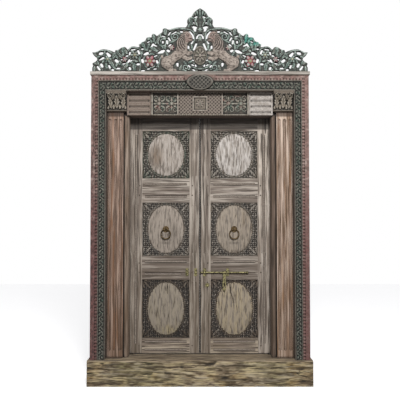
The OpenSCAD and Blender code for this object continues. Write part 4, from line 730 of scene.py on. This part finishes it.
def drawBeads(along, across, width):  # a plain worn fillet, with a row of round teeth along its inner edge
    relief = newRelief(along.shape, 0.0, bead["gap"])
    a = along - (np.floor(along / bead["pitch"]) + 0.5) * bead["pitch"]
    tooth = (0, -0.3 * width, bead["tooth"][0], bead["tooth"][1] * width)
    layOval(relief, a, across, tooth, 0.002, 0.006, bead["color"])
    plain = across + bead["edge"] * width
    lay(relief, plain, bead["flat"] * (0.5 + 0.5 * bank(plain, 0.008)), bead["color"])
    rim = across - width / 2 + bead["rim"]
    lay(relief, rim, bead["flat"] + 0.002 * bank(rim, 0.004), bead["rimColor"])
    relief["rise"] = relief["rise"] * (0.85 + 0.3 * softNoise(along, across, 0.12, 5))
    for color, seed in ((bead["bare"], 35), (bead["dusty"], 36)):
        tint(relief, 0.8 * np.clip(softNoise(along, across, 0.022, seed) * 3 - 1.6, 0, 1), color)
    return relief


def surroundStrip(name, draw, look, groundY, material):
    # the strip's run and width are the two parameters; its ends are mitred to meet the next strip
    (low, high), (inner, outer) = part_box(name), nearAndFar(name)
    upright, step = name.startswith(("left", "right")), look["step"]
    run = (high.z - low.z) if upright else 2 * outer
    width = (outer - inner) if upright else high.z - low.z
    across, along = np.linspace(0, 1, int(width / step) + 1), np.linspace(0, 1, int(run / step) + 1)
    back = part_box("surround_head")[0].y
    if upright:
        t, s = np.meshgrid(across, along)
        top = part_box("top" + name[name.index("_"):])[0].z
        x, z = inner + t * width, low.z + s * (top - low.z + t * (high.z - top))
        relief = draw(z - low.z, x - inner - width / 2, width)
        if draw is drawBeads:
            worn = np.clip((bead["footFrom"] - z) / bead["footFade"], 0, 1)
            tint(relief, bead["footShare"] * worn, bead["foot"])
        x = -x if name.startswith("left") else x
    else:
        s, t = np.meshgrid(along, across)
        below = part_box("right" + name[name.index("_"):])[0].x
        half = below + t * (outer - below)
        x, z = (2 * s - 1) * half, low.z + t * width
        relief = draw(np.abs(x), z - low.z - width / 2, width)
        if draw is drawRunning:
            # a pale painted highlight along the bottom rim of the level band
            relief["paint"][z < low.z + band["rim"]] = linear(band["lipHighlight"])
    front = np.stack([x, groundY - relief["rise"], z], -1)
    values = {"paint": relief["paint"], "shadeAndGrime": cavity(relief["rise"], step, *look["cavity"])}
    solidBoard(name + "_carving", front, back, values, material, "frame", [name],
               name.startswith("left"))


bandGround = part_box("surround_head")[0].y - band["groundDepth"]
for name in ("left_band", "right_band", "top_band"):
    surroundStrip(name, drawRunning, band, bandGround, bandPaint)
for name in ("left_moulding", "right_moulding", "top_moulding"):
    pink = leftMouldingPaint if name.startswith("left") else mouldingPaint
    surroundStrip(name, drawBeads, bead, bandGround, pink)


# Boss: an oval rim round a lattice, on a half-round board that hangs from the rail

boss = {"step": 0.0024, "half": 0.106, "rim": 0.011, "pitch": 0.022, "strip": 0.0045, "relief": 0.009,
        "ground": "#1d1c19", "strips": "#524f48", "rimColor": "#5f5b53", "above": "#806860",
        "below": "#33362f"}


def slantedNet(x, z, pitch, half):  # half a strip's width, less the distance to the nearest slanting line
    a, b = (x + z) / math.sqrt(2) / pitch, (x - z) / math.sqrt(2) / pitch
    return half - np.minimum(np.abs(a - np.round(a)), np.abs(b - np.round(b))) * pitch


def drawBoss(x, z):  # half a disc, with an ellipse on it that touches the top and bottom of the board
    low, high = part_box("top_boss")
    relief, mid = newRelief(x.shape), (low.z + high.z) / 2
    board = high.x - np.hypot(x, z - high.z)
    lay(relief, board, 0.002 * softNoise(x, z, 0.007, 6), boss["below"])
    relief["paint"][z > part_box("top_moulding")[0].z] = linear(boss["above"])
    q = np.sqrt((x / boss["half"]) ** 2 + ((z - mid) / (high.z - mid)) ** 2)
    disc = (1 - q) * (high.z - mid)
    lay(relief, disc, 0.0025 + 0.001 * softNoise(x, z, 0.006, 6), boss["ground"])
    net = np.minimum(slantedNet(x, z - mid, boss["pitch"], boss["strip"]), disc)
    lay(relief, net, 0.003 + 0.005 * bank(net, 0.004), boss["strips"])
    rim = np.minimum(disc, boss["rim"] - disc)
    lay(relief, rim, 0.003 + 0.006 * bank(rim, 0.005), boss["rimColor"])
    relief["field"] = board
    return relief


bossLow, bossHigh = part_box("top_boss")
piercedBoard("top_boss", drawBoss, (bossLow.x, bossLow.z), (bossHigh.x, bossHigh.z), boss["step"],
             bossLow.y + boss["relief"], bossHigh.y, bandPaint)


# Frieze: a netted panel in the middle, foliage on both sides and a reeded block at each end

frieze = {"step": 0.003, "block": 0.211, "fillet": 0.012, "units": 2, "groundDepth": 0.010, "rim": 0.007,
          "panelHalf": 0.182, "squareHalf": 0.056, "strip": 0.0042, "pitch": 0.02, "net": "#574d46",
          "ground": "#38352f", "leaf": "#66675c", "flower": "#7d7468", "green": "#56695f", "red": "#805650",
          "panel": "#85796f", "leftBlock": "#84756a", "rightBlock": "#beb6af", "grooves": 4,
          "grooveDepth": 0.006, "thick": 0.045, "cavity": (0.011, 0.009), "slantReach": 0.036,
          "straightReach": 0.032, "leafTurns": (38, 142, 218, 322, 90, 270, 0, 180),
          "scrolls": [(-0.026, 0.046, 0.025, -40, 1.4), (0.026, 0.046, 0.025, 220, -1.4),
                      (-0.026, -0.048, 0.024, 40, -1.4), (0.026, -0.048, 0.024, 140, 1.4)]}


def drawFrieze(x, z):  # leaf units repeat out from the net panel, every second one upside down
    low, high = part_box("frieze_board")
    relief = newRelief(x.shape, 0.0, frieze["ground"])
    relief["rise"] = 0.002 * softNoise(x, z, 0.008, 3)
    ax, mid = np.abs(x), (low.z + high.z) / 2
    field, half = high.x - frieze["block"], frieze["panelHalf"]
    unit = (field - half) / frieze["units"]
    k = np.floor((ax - half) / unit)
    a, c = ax - half - (k + 0.5) * unit, (z - mid) * np.where(k % 2 == 0, 1, -1)
    for scroll in frieze["scrolls"]:
        layStem(relief, a, c, spiral(*scroll), 0.009, 0.006, 0.0, 0.009, frieze["leaf"])
    for turn in frieze["leafTurns"]:
        reach = frieze["slantReach"] if turn % 90 else frieze["straightReach"]
        layLeaf(relief, a, c, (*polar(reach, turn), 0.054, 0.022, turn), 0.001, 0.01, frieze["leaf"], 4)
    layFlower(relief, a, c, (0, 0, 0.021), 0.003, 0.012, frieze["flower"], frieze["leaf"], 8)
    faded = softNoise(x, z, 0.03, 8)
    patch = (ax > half) & (relief["rise"] > 0.004)
    relief["paint"][patch & (faded > 0.5)] = linear(frieze["green"])
    relief["paint"][patch & (faded < 0.24)] = linear(frieze["red"])
    fleck = softNoise(x, z, 0.008, 37)
    relief["paint"][patch & (fleck > 0.68)] = linear(frieze["panel"])
    relief["rise"] = relief["rise"] - 0.003 * np.where(patch, softNoise(x, z, 0.009, 38), 0)
    inner = ax < half
    net = slantedNet(x, z - mid, frieze["pitch"], frieze["strip"])
    relief["rise"] = np.where(inner, 0.001 + 0.0015 * softNoise(x, z, 0.008, 3), relief["rise"])
    relief["paint"][inner] = linear(frieze["net"])
    lay(relief, np.where(inner, net, -1.0), 0.002 + 0.0035 * bank(net, 0.004), frieze["panel"])
    box = np.maximum(ax, np.abs(z - mid))
    core = box < frieze["squareHalf"]
    relief["rise"] = np.where(core, 0.002, relief["rise"])
    relief["paint"][core] = linear(frieze["flower"])
    layFlower(relief, x, z, (0, mid, 0.034), 0.002, 0.007, frieze["panel"], frieze["leaf"], 8)
    for border in (0.006 - np.abs(box - frieze["squareHalf"]), 0.007 - np.abs(ax - half)):
        lay(relief, border, 0.004 + 0.006 * bank(border, 0.005), frieze["panel"])
    rim = np.abs(z - mid) - (high.z - low.z) / 2 + frieze["rim"]
    pearls = 0.7 + 0.3 * np.cos(2 * np.pi * x / 0.016)
    lay(relief, rim, 0.006 + 0.005 * pearls * bank(rim, 0.004), frieze["flower"])
    block = ax - field
    groove = (z - low.z) / (high.z - low.z) * frieze["grooves"]
    sunk = np.sqrt(np.clip(1 - ((groove - np.floor(groove) - 0.5) / 0.24) ** 2, 0, 1))
    sunk = sunk * np.clip((block - frieze["fillet"] - 0.012) / 0.006, 0, 1)
    sunk = sunk * np.clip((high.x - ax - 0.012) / 0.006, 0, 1)
    relief["rise"] = np.where(block > 0, frieze["groundDepth"] - frieze["grooveDepth"] * sunk, relief["rise"])
    relief["paint"][block > 0] = linear(frieze["rightBlock"])
    # the left block takes a darker, browner copy of the right one's colour: painted shade, with browner wood
    relief["paint"][(block > 0) & (x < 0)] = linear(frieze["leftBlock"])
    strip = np.minimum(block, frieze["fillet"] - block)
    lay(relief, strip, 0.0125 + 0.004 * bank(strip, 0.004), frieze["flower"])
    return relief


def friezePiece():  # the relief on an even grid
    low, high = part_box("frieze_board")
    rows = int((high.z - low.z) / frieze["step"]) + 1
    x, z = np.meshgrid(np.arange(low.x, high.x + 0.0005, frieze["step"]), np.linspace(low.z, high.z, rows))
    relief = drawFrieze(x, z)
    groundY = high.y - frieze["thick"] + frieze["groundDepth"]
    values = {"paint": relief["paint"], "shadeAndGrime": cavity(relief["rise"], frieze["step"], *frieze["cavity"])}
    solidBoard("frieze_carving", np.stack([x, groundY - relief["rise"], z], -1), high.y, values, greyPaint,
               "frame", ["frieze_board"])


friezePiece()


# Capitals: leaves on a hollow face, between a round foot moulding and a square top

# leaves: middle, length, width, angle and lift, the outer ones for the right half
capital = {"step": 0.0024, "foot": 0.046, "out": 0.118, "top": 0.026, "astragal": 0.013,
           "ground": "#0f0d0a", "leaf": "#8d8272", "tip": "#bdb29e", "plain": "#6a6054",
           "scroll": (0.116, 0.02), "cavity": (0.009, 0.008), "middleLeaf": (0, 0.074, 0.1, 0.05, 90, 0.004),
           "outerLeaves": [(0.052, 0.068, 0.09, 0.044, 82, 0.002), (0.027, 0.112, 0.05, 0.03, 120, 0.003),
                           (0.026, 0.036, 0.04, 0.026, 90, 0.006), (0.07, 0.03, 0.03, 0.02, 90, 0.006)]}


def capitalPiece(name, flip):  # a round foot, then a quarter-circle hollow that flares out to the square top
    (low, high), (inner, outer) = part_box(name), nearAndFar(name)
    width, height, ball = outer - inner, high.z - low.z, capital["astragal"]
    u = np.linspace(0, width, int(width / capital["step"]) + 1)
    w = np.linspace(0, height, int(height / capital["step"] * 1.3) + 1)
    u, w = np.meshgrid(u - width / 2, w)
    cove = height - capital["top"] - 2 * ball
    flare = np.sqrt(np.clip(cove ** 2 - np.clip(w - 2 * ball, 0, cove) ** 2, 0, None))
    depth = np.minimum(capital["foot"] + cove - flare, capital["out"])
    depth = depth + np.where(w < 2 * ball, np.sqrt(np.clip(ball ** 2 - (w - ball) ** 2, 0, None)), 0)
    # the ground between the leaves is near black: painted shade, with dirt
    relief = newRelief(u.shape, -0.006, capital["ground"])
    leaves = [capital["middleLeaf"]]
    for cx, cz, length, wide, turn, lift in capital["outerLeaves"]:
        leaves += [(-cx, cz, length, wide, 180 - turn, lift), (cx, cz, length, wide, turn, lift)]
    for *place, lift in leaves:
        layLeaf(relief, u, w, place, lift, 0.013, capital["leaf"], 4)
    scrollZ, scrollR = capital["scroll"]
    for sign in (-1, 1):
        path = spiral(sign * capital["outerLeaves"][0][0], scrollZ, scrollR, 90, sign * 1.3)
        layStem(relief, u, w, path, 0.009, 0.006, 0.004, 0.01, capital["tip"])
    plain = np.maximum(w - height + capital["top"], 0.012 - w)
    lay(relief, plain, np.zeros(u.shape), capital["plain"])
    x = (u + (inner + outer) / 2) * (-1 if flip else 1)
    front = np.stack([x, high.y - depth - relief["rise"], w + low.z], -1)
    values = {"paint": relief["paint"], "shadeAndGrime": cavity(relief["rise"], capital["step"], *capital["cavity"])}
    solidBoard(name + "_carving", front, high.y, values, greyPaint, "frame", [name], flip)


capitalPiece("left_capital", True)
capitalPiece("right_capital", False)


# Leaf panels: a smooth raised oval on a ground of small carved leaves

# marks: middle, half width, half height, colour and share of each stain; cracks: path and width
panel = {"step": 0.0035, "marginX": 0.044, "marginZ": 0.021, "rise": 0.018, "tongue": 0.0107,
         "groundIn": 0.014, "ground": "#36332f", "leaf": "#5c5a54", "cell": 0.034, "cavity": (0.009, 0.006),
         "cornerLeaves": [(0.062, 14), (0.092, 47), (0.062, 78)], "cornerIn": 0.014,
         "ovals": {"left_upper": "#b8aea5", "right_upper": "#cec7c1", "left_middle": "#a4988c",
                   "right_middle": "#a29585", "left_lower": "#968b79", "right_lower": "#a8997f"},
         "grounds": {"left_upper": "#414b41", "right_upper": "#625f57", "left_middle": "#45433e",
                     "right_middle": "#4d4a44", "left_lower": "#2e251d", "right_lower": "#372c23"},
         "cracks": {"right_lower": [([(-0.036, 0.2), (-0.03, 0.13), (-0.018, 0.1), (-0.007, 0.049)], 0.009)],
                    "left_lower": [([(0.012, 0.205), (0.016, 0.15), (0.014, 0.11)], 0.006)]},
         "soil": {"left_upper": 0.06, "left_lower": 0.2, "right_lower": 0.12},
         "marks": {"left_upper": [(-0.08, -0.015, 0.05, 0.1, "#6d5741", 0.9)],
                   "left_middle": [(0.07, -0.037, 0.032, 0.095, "#544a40", 0.6),
                                   (0, -0.115, 0.045, 0.012, "#3a322a", 0.8)],
                   "right_middle": [(0, -0.115, 0.045, 0.012, "#3a322a", 0.8),
                                    (0.09, 0.06, 0.03, 0.12, "#7a6a56", 0.5)],
                   "left_lower": [(0.02, -0.172, 0.07, 0.04, "#a49468", 0.6),
                                  (0.053, -0.148, 0.014, 0.014, "#4b3f30", 0.8)],
                   "right_lower": [(-0.149, 0.139, 0.01, 0.01, "#3a3128", 0.9)]},
         "cellLeaves": [(-0.006, -0.006, 0.03, 0.013, 45), (0.009, -0.008, 0.018, 0.009, -20),
                        (-0.008, 0.01, 0.018, 0.009, 110)]}


def drawPanel(x, z, rx, rz, halfX, halfZ, key):  # ground in square cells, each a quarter turn from the next
    relief = newRelief(x.shape, 0.0, panel["ground"])
    ax, az = np.abs(x), np.abs(z)
    ground, cell = panel["grounds"][key], panel["cell"]
    i, j = np.floor(ax / cell), np.floor(az / cell)
    a, c = ax - (i + 0.5) * cell, az - (j + 0.5) * cell
    swap = (i + j) % 2 == 0
    a, c = np.where(swap, a, c), np.where(swap, c, -a)
    for place in panel["cellLeaves"]:
        layLeaf(relief, a, c, place, 0.001, 0.006, ground, 3)
    layFlower(relief, a, c, (0.01, 0.01, 0.0062), 0.001, 0.006, ground, panel["leaf"], 5)
    for length, turn in panel["cornerLeaves"]:
        inX, inZ = polar(length / 2 + panel["cornerIn"], turn)
        layLeaf(relief, ax, az, (halfX - inX, halfZ - inZ, length, 0.024, turn), 0.002, 0.007, ground, 4)
    q = np.sqrt((x / rx) ** 2 + (z / rz) ** 2)
    ring = 0.006 - np.abs((q - 1) * min(rx, rz) - 0.007)
    beads = 0.6 + 0.4 * np.cos(np.arctan2(z / rz, x / rx) * 96)
    lay(relief, ring, 0.001 + 0.005 * bank(ring, 0.005) * beads, ground)
    layOval(relief, x, z, (0, 0, rx, rz), 0.0, panel["rise"], panel["ovals"][key])
    for cx, cz, wide, tall, color, share in panel["marks"].get(key, []):
        soft = np.exp(-(((x - cx) / wide) ** 2 + ((z - cz) / tall) ** 2) ** 2) * (q < 1) * share
        tint(relief, soft * (0.6 + 0.8 * softNoise(x * 3, z, 0.03, 21)).clip(0, 1), color)
    # cracks take the darkest value: painted shade with dirt in the cracks
    relief["soiled"] = np.zeros(x.shape, bool)
    for path, width in panel["cracks"].get(key, []):
        crack = ribbon(x, z, np.array(path), width, width / 3)
        relief["rise"] = np.where(crack > 0, relief["rise"] - 0.006, relief["rise"])
        relief["soiled"] |= crack > 0
    rim = np.minimum(np.maximum(ax - halfX, az - halfZ) + 0.007, 0.02)
    lay(relief, rim, 0.003 + 0.004 * bank(rim, 0.005), ground)
    return relief


def panelPiece(node, body):  # the relief on an even grid inside the tongues
    low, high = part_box(node)
    key = node.replace("_panel", "")
    tongue = panel["tongue"]
    halfX, halfZ = (high.x - low.x) / 2 - tongue, (high.z - low.z) / 2 - tongue
    columns, rows = int(2 * halfX / panel["step"]) + 1, int(2 * halfZ / panel["step"]) + 1
    x, z = np.meshgrid(np.linspace(-halfX, halfX, columns), np.linspace(-halfZ, halfZ, rows))
    rx, rz = halfX - panel["marginX"], halfZ - panel["marginZ"]
    relief = drawPanel(x, z, rx, rz, halfX, halfZ, key)
    midX, midZ = (low.x + high.x) / 2, (low.z + high.z) / 2
    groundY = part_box(body + "_upper_rail")[0].y + panel["groundIn"]
    q = (x / rx) ** 2 + (z / rz) ** 2
    # the oval takes a pale painted highlight on its face and darkens toward its rim
    towardRim = 0.3 + 0.5 * np.clip((q - 0.93) / 0.07, 0, 1)
    hollows = cavity(relief["rise"], panel["step"], *panel["cavity"]) + panel["soil"].get(key, 0)
    shadeAndGrime = np.where(relief["soiled"], 1.0, np.where(q < 1, towardRim, hollows))
    front = np.stack([x + midX, groundY - relief["rise"], z + midZ], -1)
    solidBoard(node + "_carving", front, high.y, {"paint": relief["paint"], "shadeAndGrime": shadeAndGrime}, panelPaint,
               body + "_leaf", [node], crease=50)


for side in ("left", "right"):
    for level in ("lower", "middle", "upper"):
        panelPiece(side + "_" + level + "_panel", side)


# Medallion between the lions: a low dome with a flower in a ring of leaves

medallion = {"step": 0.0022, "rise": 0.012, "relief": 0.013, "sink": 0.006, "leaf": "#7d7a6c",
             "ring": "#6a665a", "heart": "#8d6f66"}


def drawMedallion(x, z):  # an ellipse swollen to a dome, eight leaves half way out and a flower
    low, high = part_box("crest_medallion")
    rx, rz, mid = high.x, (high.z - low.z) / 2, (low.z + high.z) / 2
    relief = newRelief(x.shape)
    layOval(relief, x, z, (0, mid, rx, rz), 0.0, medallion["rise"] * 0.6, medallion["ring"])
    edge = np.sqrt((x / rx) ** 2 + ((z - mid) / rz) ** 2)
    rim = (0.08 - np.abs(edge - 0.92)) * rx
    lay(relief, rim, 0.003 + 0.004 * bank(rim, 0.004), medallion["ring"])
    for turn in range(0, 360, 45):
        cx, cz = polar(0.5, turn)
        layLeaf(relief, x, z, (cx * rx, mid + cz * rz, 0.04, 0.02, turn), 0.004, 0.008, medallion["leaf"], 2)
    layFlower(relief, x, z, (0, mid, 0.018), 0.006, 0.007, medallion["leaf"], medallion["heart"], 6)
    return relief


medalLow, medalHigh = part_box("crest_medallion")
piercedBoard("crest_medallion", drawMedallion, (medalLow.x, medalLow.z), (medalHigh.x, medalHigh.z),
             medallion["step"], medalLow.y + medallion["relief"], crest["base"] - medallion["sink"],
             lionPaint)


# Threshold: one section carried along the beam, worn smooth on top, split and rough in front

sill = {"step": 0.0075, "edge": 0.014, "rough": 0.006, "crack": 0.006, "socket": 0.026, "socketDepth": 0.062,
        "color": "#a08f76", "moss": "#7d7a4e", "ochre": "#a5874c", "rotten": "#3f2f1a", "fresh": "#cbb98f",
        "lines": "#5f5245"}


def sillSection():  # front face from the floor up, a round edge, the top, the back and the underside
    low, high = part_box("threshold")
    r = sill["edge"]
    turn = np.linspace(0, np.pi / 2, 6)[1:-1]
    parts = [(np.full(46, low.y), np.linspace(low.z, high.z - r, 46), 1.0),
             (low.y + r - r * np.cos(turn), high.z - r + r * np.sin(turn), 0.6),
             (np.linspace(low.y + r, high.y, 44), np.full(44, high.z), 0.12),
             (np.full(8, high.y), np.linspace(high.z, low.z, 10)[1:-1], 0.5),
             (np.linspace(high.y, low.y, 14)[:-1], np.full(13, low.z), 0.0)]
    y, z = np.concatenate([p[0] for p in parts]), np.concatenate([p[1] for p in parts])
    return y, z, np.concatenate([np.full(len(p[0]), p[2]) for p in parts])


def sillPiece():  # long noise along the grain dents the section, deeper where a split runs
    low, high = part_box("threshold")
    y, z, rough = sillSection()
    x = np.linspace(low.x, high.x, int((high.x - low.x) / sill["step"]))
    run = np.concatenate([[0], np.cumsum(np.hypot(np.diff(y), np.diff(z)))])
    gx, gs = np.meshgrid(x, run)
    gy, gz = np.repeat(y[:, None], len(x), 1), np.repeat(z[:, None], len(x), 1)
    wave = gs + 0.012 * softNoise(gx, gs, 0.11, 4) + 0.004 * softNoise(gx, gs, 0.03, 5)
    grain = softNoise(gx / 9, wave, 0.011, 6) * 0.6 + softNoise(gx / 9, wave, 0.005, 7) * 0.4
    split = np.exp(-((softNoise(gx / 12, wave, 0.026, 8) - 0.5) / 0.045) ** 2)
    split = split * (softNoise(gx, gs, 0.16, 9) > 0.3)
    dent = rough[:, None] * (sill["rough"] * grain + sill["crack"] * split)
    front, top = (gy < low.y + 0.001), (gz > high.z - 0.001)
    outY = np.where(gy < low.y + sill["edge"], -1.0, np.where(gy > high.y - 0.001, 1.0, 0.0))
    outY = outY * (gz < high.z - 0.0005)
    outZ = np.where(gz > high.z - sill["edge"], 1.0, 0.0) * ~front
    gy, gz = gy - outY * dent, gz - outZ * dent
    for joint in frame["record"]["behaviour"]["joints"]:
        if joint["name"] in ("left_leaf_hinge", "right_leaf_hinge"):
            inside = top & (np.hypot(gx - joint["pos_m"][0], gy - joint["pos_m"][1]) < sill["socket"])
            gz = np.where(inside, high.z - sill["socketDepth"], gz)
    points = np.stack([gx, gy, gz], -1).reshape(-1, 3)
    rows, columns = gx.shape
    n = np.arange(rows * columns).reshape(rows, columns)
    m = np.roll(n, -1, 0)
    quads = np.stack([n[:, :-1], n[:, 1:], m[:, 1:], m[:, :-1]], -1).reshape(-1, 4)
    flakes = softNoise(gx / 5, wave, 0.016, 16) * 0.6 + softNoise(gx / 3, wave, 0.009, 17) * 0.4
    shares = {"moss": np.clip(softNoise(gx, gs, 0.2, 11) * 1.6 - 0.5, 0, 1) * front * 0.6,
              "ochre": np.clip(softNoise(gx, gs, 0.09, 14) * 2 - 1.1, 0, 1) * front * 0.7,
              "rotten": 0.85 * np.clip((0.44 - flakes) * 8, 0, 1) * front,
              "fresh": 0.8 * np.clip((flakes - 0.56) * 8, 0, 1) * front,
              "lines": top * np.clip(softNoise(gx / 14, gs, 0.013, 15) * 2 - 0.7, 0, 1)}
    relief = newRelief(gx.shape, 0.0, sill["color"])
    for key, share in shares.items():
        tint(relief, share, sill[key])
    shadeAndGrime = np.where(front, np.clip(0.8 * grain - 0.04 + 0.4 * split, 0, 1), 0.8 * grain)
    values = {"paint": relief["paint"].reshape(-1, 3), "shadeAndGrime": shadeAndGrime.ravel()}
    makePiece("threshold_beam", points, [quads, n[None, ::-1, 0], n[None, :, -1]], values, sillTeak, "frame",
              ["threshold"], 40)


sillTeak = carvedPaint("roughSawnTeakBeam", {
    "wood": "#8a795e", "dark": "#352a1b", "pale": "#d2c4a8", "shadeAndDirt": "#140f08", "bare": 0.3, "paintedLightAndDust": 0.6,
    "wear": (18, 150), "grain": (9, 110), "open": 0.95})
sillPiece()


# Moulded lines on the leaves: a worn bead between two hollows darkened with painted shade and dirt

leafLine = {"width": 0.018, "bead": 0.004, "rise": 0.0016, "skin": 0.0004, "sink": 0.001, "end": 0.034,
            "rail": 0.27, "steps": 90, "color": "#9c9084", "stile": 0.42, "stileEnds": (0.16, 0.08),
            "boltEnd": 0.05}


def mouldedLine(name, start, end, frontY, body):  # a half round with a flat strip on both sides, run straight
    start, end = np.array(start), np.array(end)
    across = np.array([end[1] - start[1], start[0] - end[0]]) / np.hypot(*(end - start))
    t = np.linspace(-0.5, 0.5, 19) * leafLine["width"]
    t, s = np.meshgrid(t, np.linspace(0, 1, leafLine["steps"]))
    x, z = [start[i] + s * (end - start)[i] + t * across[i] for i in (0, 1)]
    swell = np.sqrt(np.clip(1 - (t / leafLine["bead"]) ** 2, 0, 1))
    worn = 0.5 + 0.5 * softNoise(s * 0.6, t, 0.05, 41)
    front = np.stack([x, frontY - leafLine["skin"] - leafLine["rise"] * swell * worn, z], -1)
    # the hollows beside the bead are darkened: painted shade with dirt
    shadeAndGrime = np.where(np.abs(t) < leafLine["bead"], 0.3, 0.7 + 0.25 * worn)
    values = {"paint": newRelief(x.shape, 0.0, leafLine["color"])["paint"], "shadeAndGrime": shadeAndGrime}
    solidBoard(name, front, frontY + leafLine["sink"], values, linePaint, body, [], True)


def leafLines(side, sign):  # two lines on each plain rail and one on the hinge stile, with room for the bolt
    inner, outer = nearAndFar(side + "_lower_panel")
    for level in ("upper", "lower", "bottom"):
        low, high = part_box(side + "_" + level + "_rail")
        for place, mark in ((0.5 + leafLine["rail"], "top"), (0.5 - leafLine["rail"], "foot")):
            near, far = inner + leafLine["end"], outer - leafLine["end"]
            z = low.z + place * (high.z - low.z)
            if (level, mark) == ("lower", "foot"):
                near = near + leafLine["boltEnd"]
                if side == "right":
                    continue
            name = "_".join((side, level, "rail", mark, "line"))
            mouldedLine(name, (sign * near, z), (sign * far, z), low.y, side + "_leaf")
    inner, outer = nearAndFar(side + "_hinge_stile")
    x, (trimTop, trimFoot) = sign * (inner + leafLine["stile"] * (outer - inner)), leafLine["stileEnds"]
    start = (x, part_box(side + "_bottom_rail")[0].z + trimFoot)
    end = (x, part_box(side + "_top_rail")[1].z - trimTop)
    mouldedLine(side + "_hinge_stile_line", start, end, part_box(side + "_upper_rail")[0].y, side + "_leaf")


linePaint = carvedPaint("wornMouldedTeak", {
    "wood": "#887b6f", "dark": "#3d332a", "pale": "#b5aa9e", "shadeAndDirt": "#2f2720", "bare": 0.5, "paintedLightAndDust": 0.2,
    "wear": (20, 120), "deep": 0.85})
leafLines("left", -1)
leafLines("right", 1)


# A near-black strip in the gap between the leaves, painted shade, held on the right leaf's edge

gapShade = {"sink": 0.0002, "room": 0.00025, "front": 0.0395, "depth": 0.005, "color": "#1a1612"}


def gapPiece():  # a thin upright box
    low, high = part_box("right_meeting_stile")
    near = low.y + gapShade["front"]
    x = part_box("left_meeting_stile")[1].x + gapShade["room"], low.x + gapShade["sink"]
    y, z = (near, near + gapShade["depth"]), (low.z, high.z)
    corners = np.array([[x[i], y[j], z[k]] for k in (0, 1) for j in (0, 1) for i in (0, 1)])
    sides = np.array([(0, 2, 3, 1), (4, 5, 7, 6), (0, 1, 5, 4), (1, 3, 7, 5), (3, 2, 6, 7), (2, 0, 4, 6)])
    # painted shade: a dull near black, so that no light shows between the leaves
    paintedLightAndDust = newMaterial("gapShadeBlack", **{"Roughness": 0.95, "Base Color": rgba(gapShade["color"])})[0]
    makePiece("meeting_gap_shade", corners, [sides], {}, paintedLightAndDust, "right_leaf", [])


gapPiece()


# The plain joinery and the metal keep the part's own shape

pegTeak = weatheredTeak("darkTeakPeg", {
    **leafWood, "pale": "#6f6357", "mid": "#54493f", "dark": "#332a22", "seed": 25.0})
# by the last word of a node's name, and then the nodes that differ from their kind
finishes = {"stile": stileTeak, "rail": railTeak, "pegs": pegTeak, "jamb": jambTeak,
            "pilaster": rightPilasterTeak, "post": frameTeak, "beam": headTeak, "head": headTeak,
            **dict.fromkeys(("ring", "rose", "eye"), bronze),
            **dict.fromkeys(("bar", "collars", "hasp", "keepers", "staple", "staples"), brass)}
special = {"crest_rail": crestRailTeak, "left_pilaster": leftPilasterTeak,
           "right_hinge_stile": litStileTeak, "right_jamb": shadedJambTeak,
           "left_bottom_rail": footTeak, "right_bottom_rail": footTeak}
for name, node in frame["nodes"].items():
    finish = special.get(name, finishes.get(name.split("_")[-1]))
    if finish:
        node.data.materials.clear()
        node.data.materials.append(finish)
print("finishes set")


# Floor, light and camera

room = {"half": 8, "card": "#6b6863", "glow": (0.62, 0.62, 0.62, 1), "fill": (0.25, 0.25, 0.26, 1)}
edge = room["half"]
floorCorners = [(-edge, -edge, 0), (edge, -edge, 0), (edge, edge, 0), (-edge, edge, 0)]
floorMesh = bpy.data.meshes.new("floor")
floorMesh.from_pydata(floorCorners, [], [(0, 1, 2, 3)])
floor = bpy.data.objects.new("floor", floorMesh)
bpy.context.scene.collection.objects.link(floor)

# pale matt card: white to the eye, with the shadow kept, and dim to every other ray
floorCard, tree, shader = newMaterial("paleFloorCard", **{"Roughness": 0.95, "Emission Strength": 1.0})
seen = seenRays(tree)
for socket, dim, shown in (("Base Color", room["card"], "#ffffff"),
                           ("Emission Color", "#000000", room["glow"])):
    mix = addNode(tree, "Mix", {0: seen, 6: dim, 7: shown}, data_type="RGBA")
    tree.links.new(mix.outputs[2], shader.inputs[socket])
floorMesh.materials.append(floorCard)

world = bpy.data.worlds.new("softRoom")
bpy.context.scene.world = world
world.use_nodes = True
tree = world.node_tree
mix = addNode(tree, "Mix", {0: seenRays(tree), 6: room["fill"], 7: "#ffffff"}, data_type="RGBA")
tree.links.new(mix.outputs[2], tree.nodes["Background"].inputs["Color"])

lamp = {"place": (0.35, -4.45, 3.9), "aim": (0, 0, 1.4), "size": 0.9, "watts": 240}
light = bpy.data.objects.new("studioLight", bpy.data.lights.new("studioLight", "AREA"))
light.data.energy, light.data.size = lamp["watts"], lamp["size"]
view = {"place": (0, -5.17, 1.308), "aim": (0, 0, 1.4885), "lens": 56.25}
camera = bpy.data.objects.new("photoCamera", bpy.data.cameras.new("photoCamera"))
camera.data.lens, camera.data.sensor_width = view["lens"], 36
for thing, setting in ((light, lamp), (camera, view)):
    thing.location = setting["place"]
    aim = Vector(setting["aim"]) - Vector(setting["place"])
    thing.rotation_euler = aim.to_track_quat("-Z", "Y").to_euler()
    bpy.context.scene.collection.objects.link(thing)
bpy.context.scene.camera = camera
bpy.context.scene.view_settings.view_transform = "Standard"
print("room, lamp and camera set")
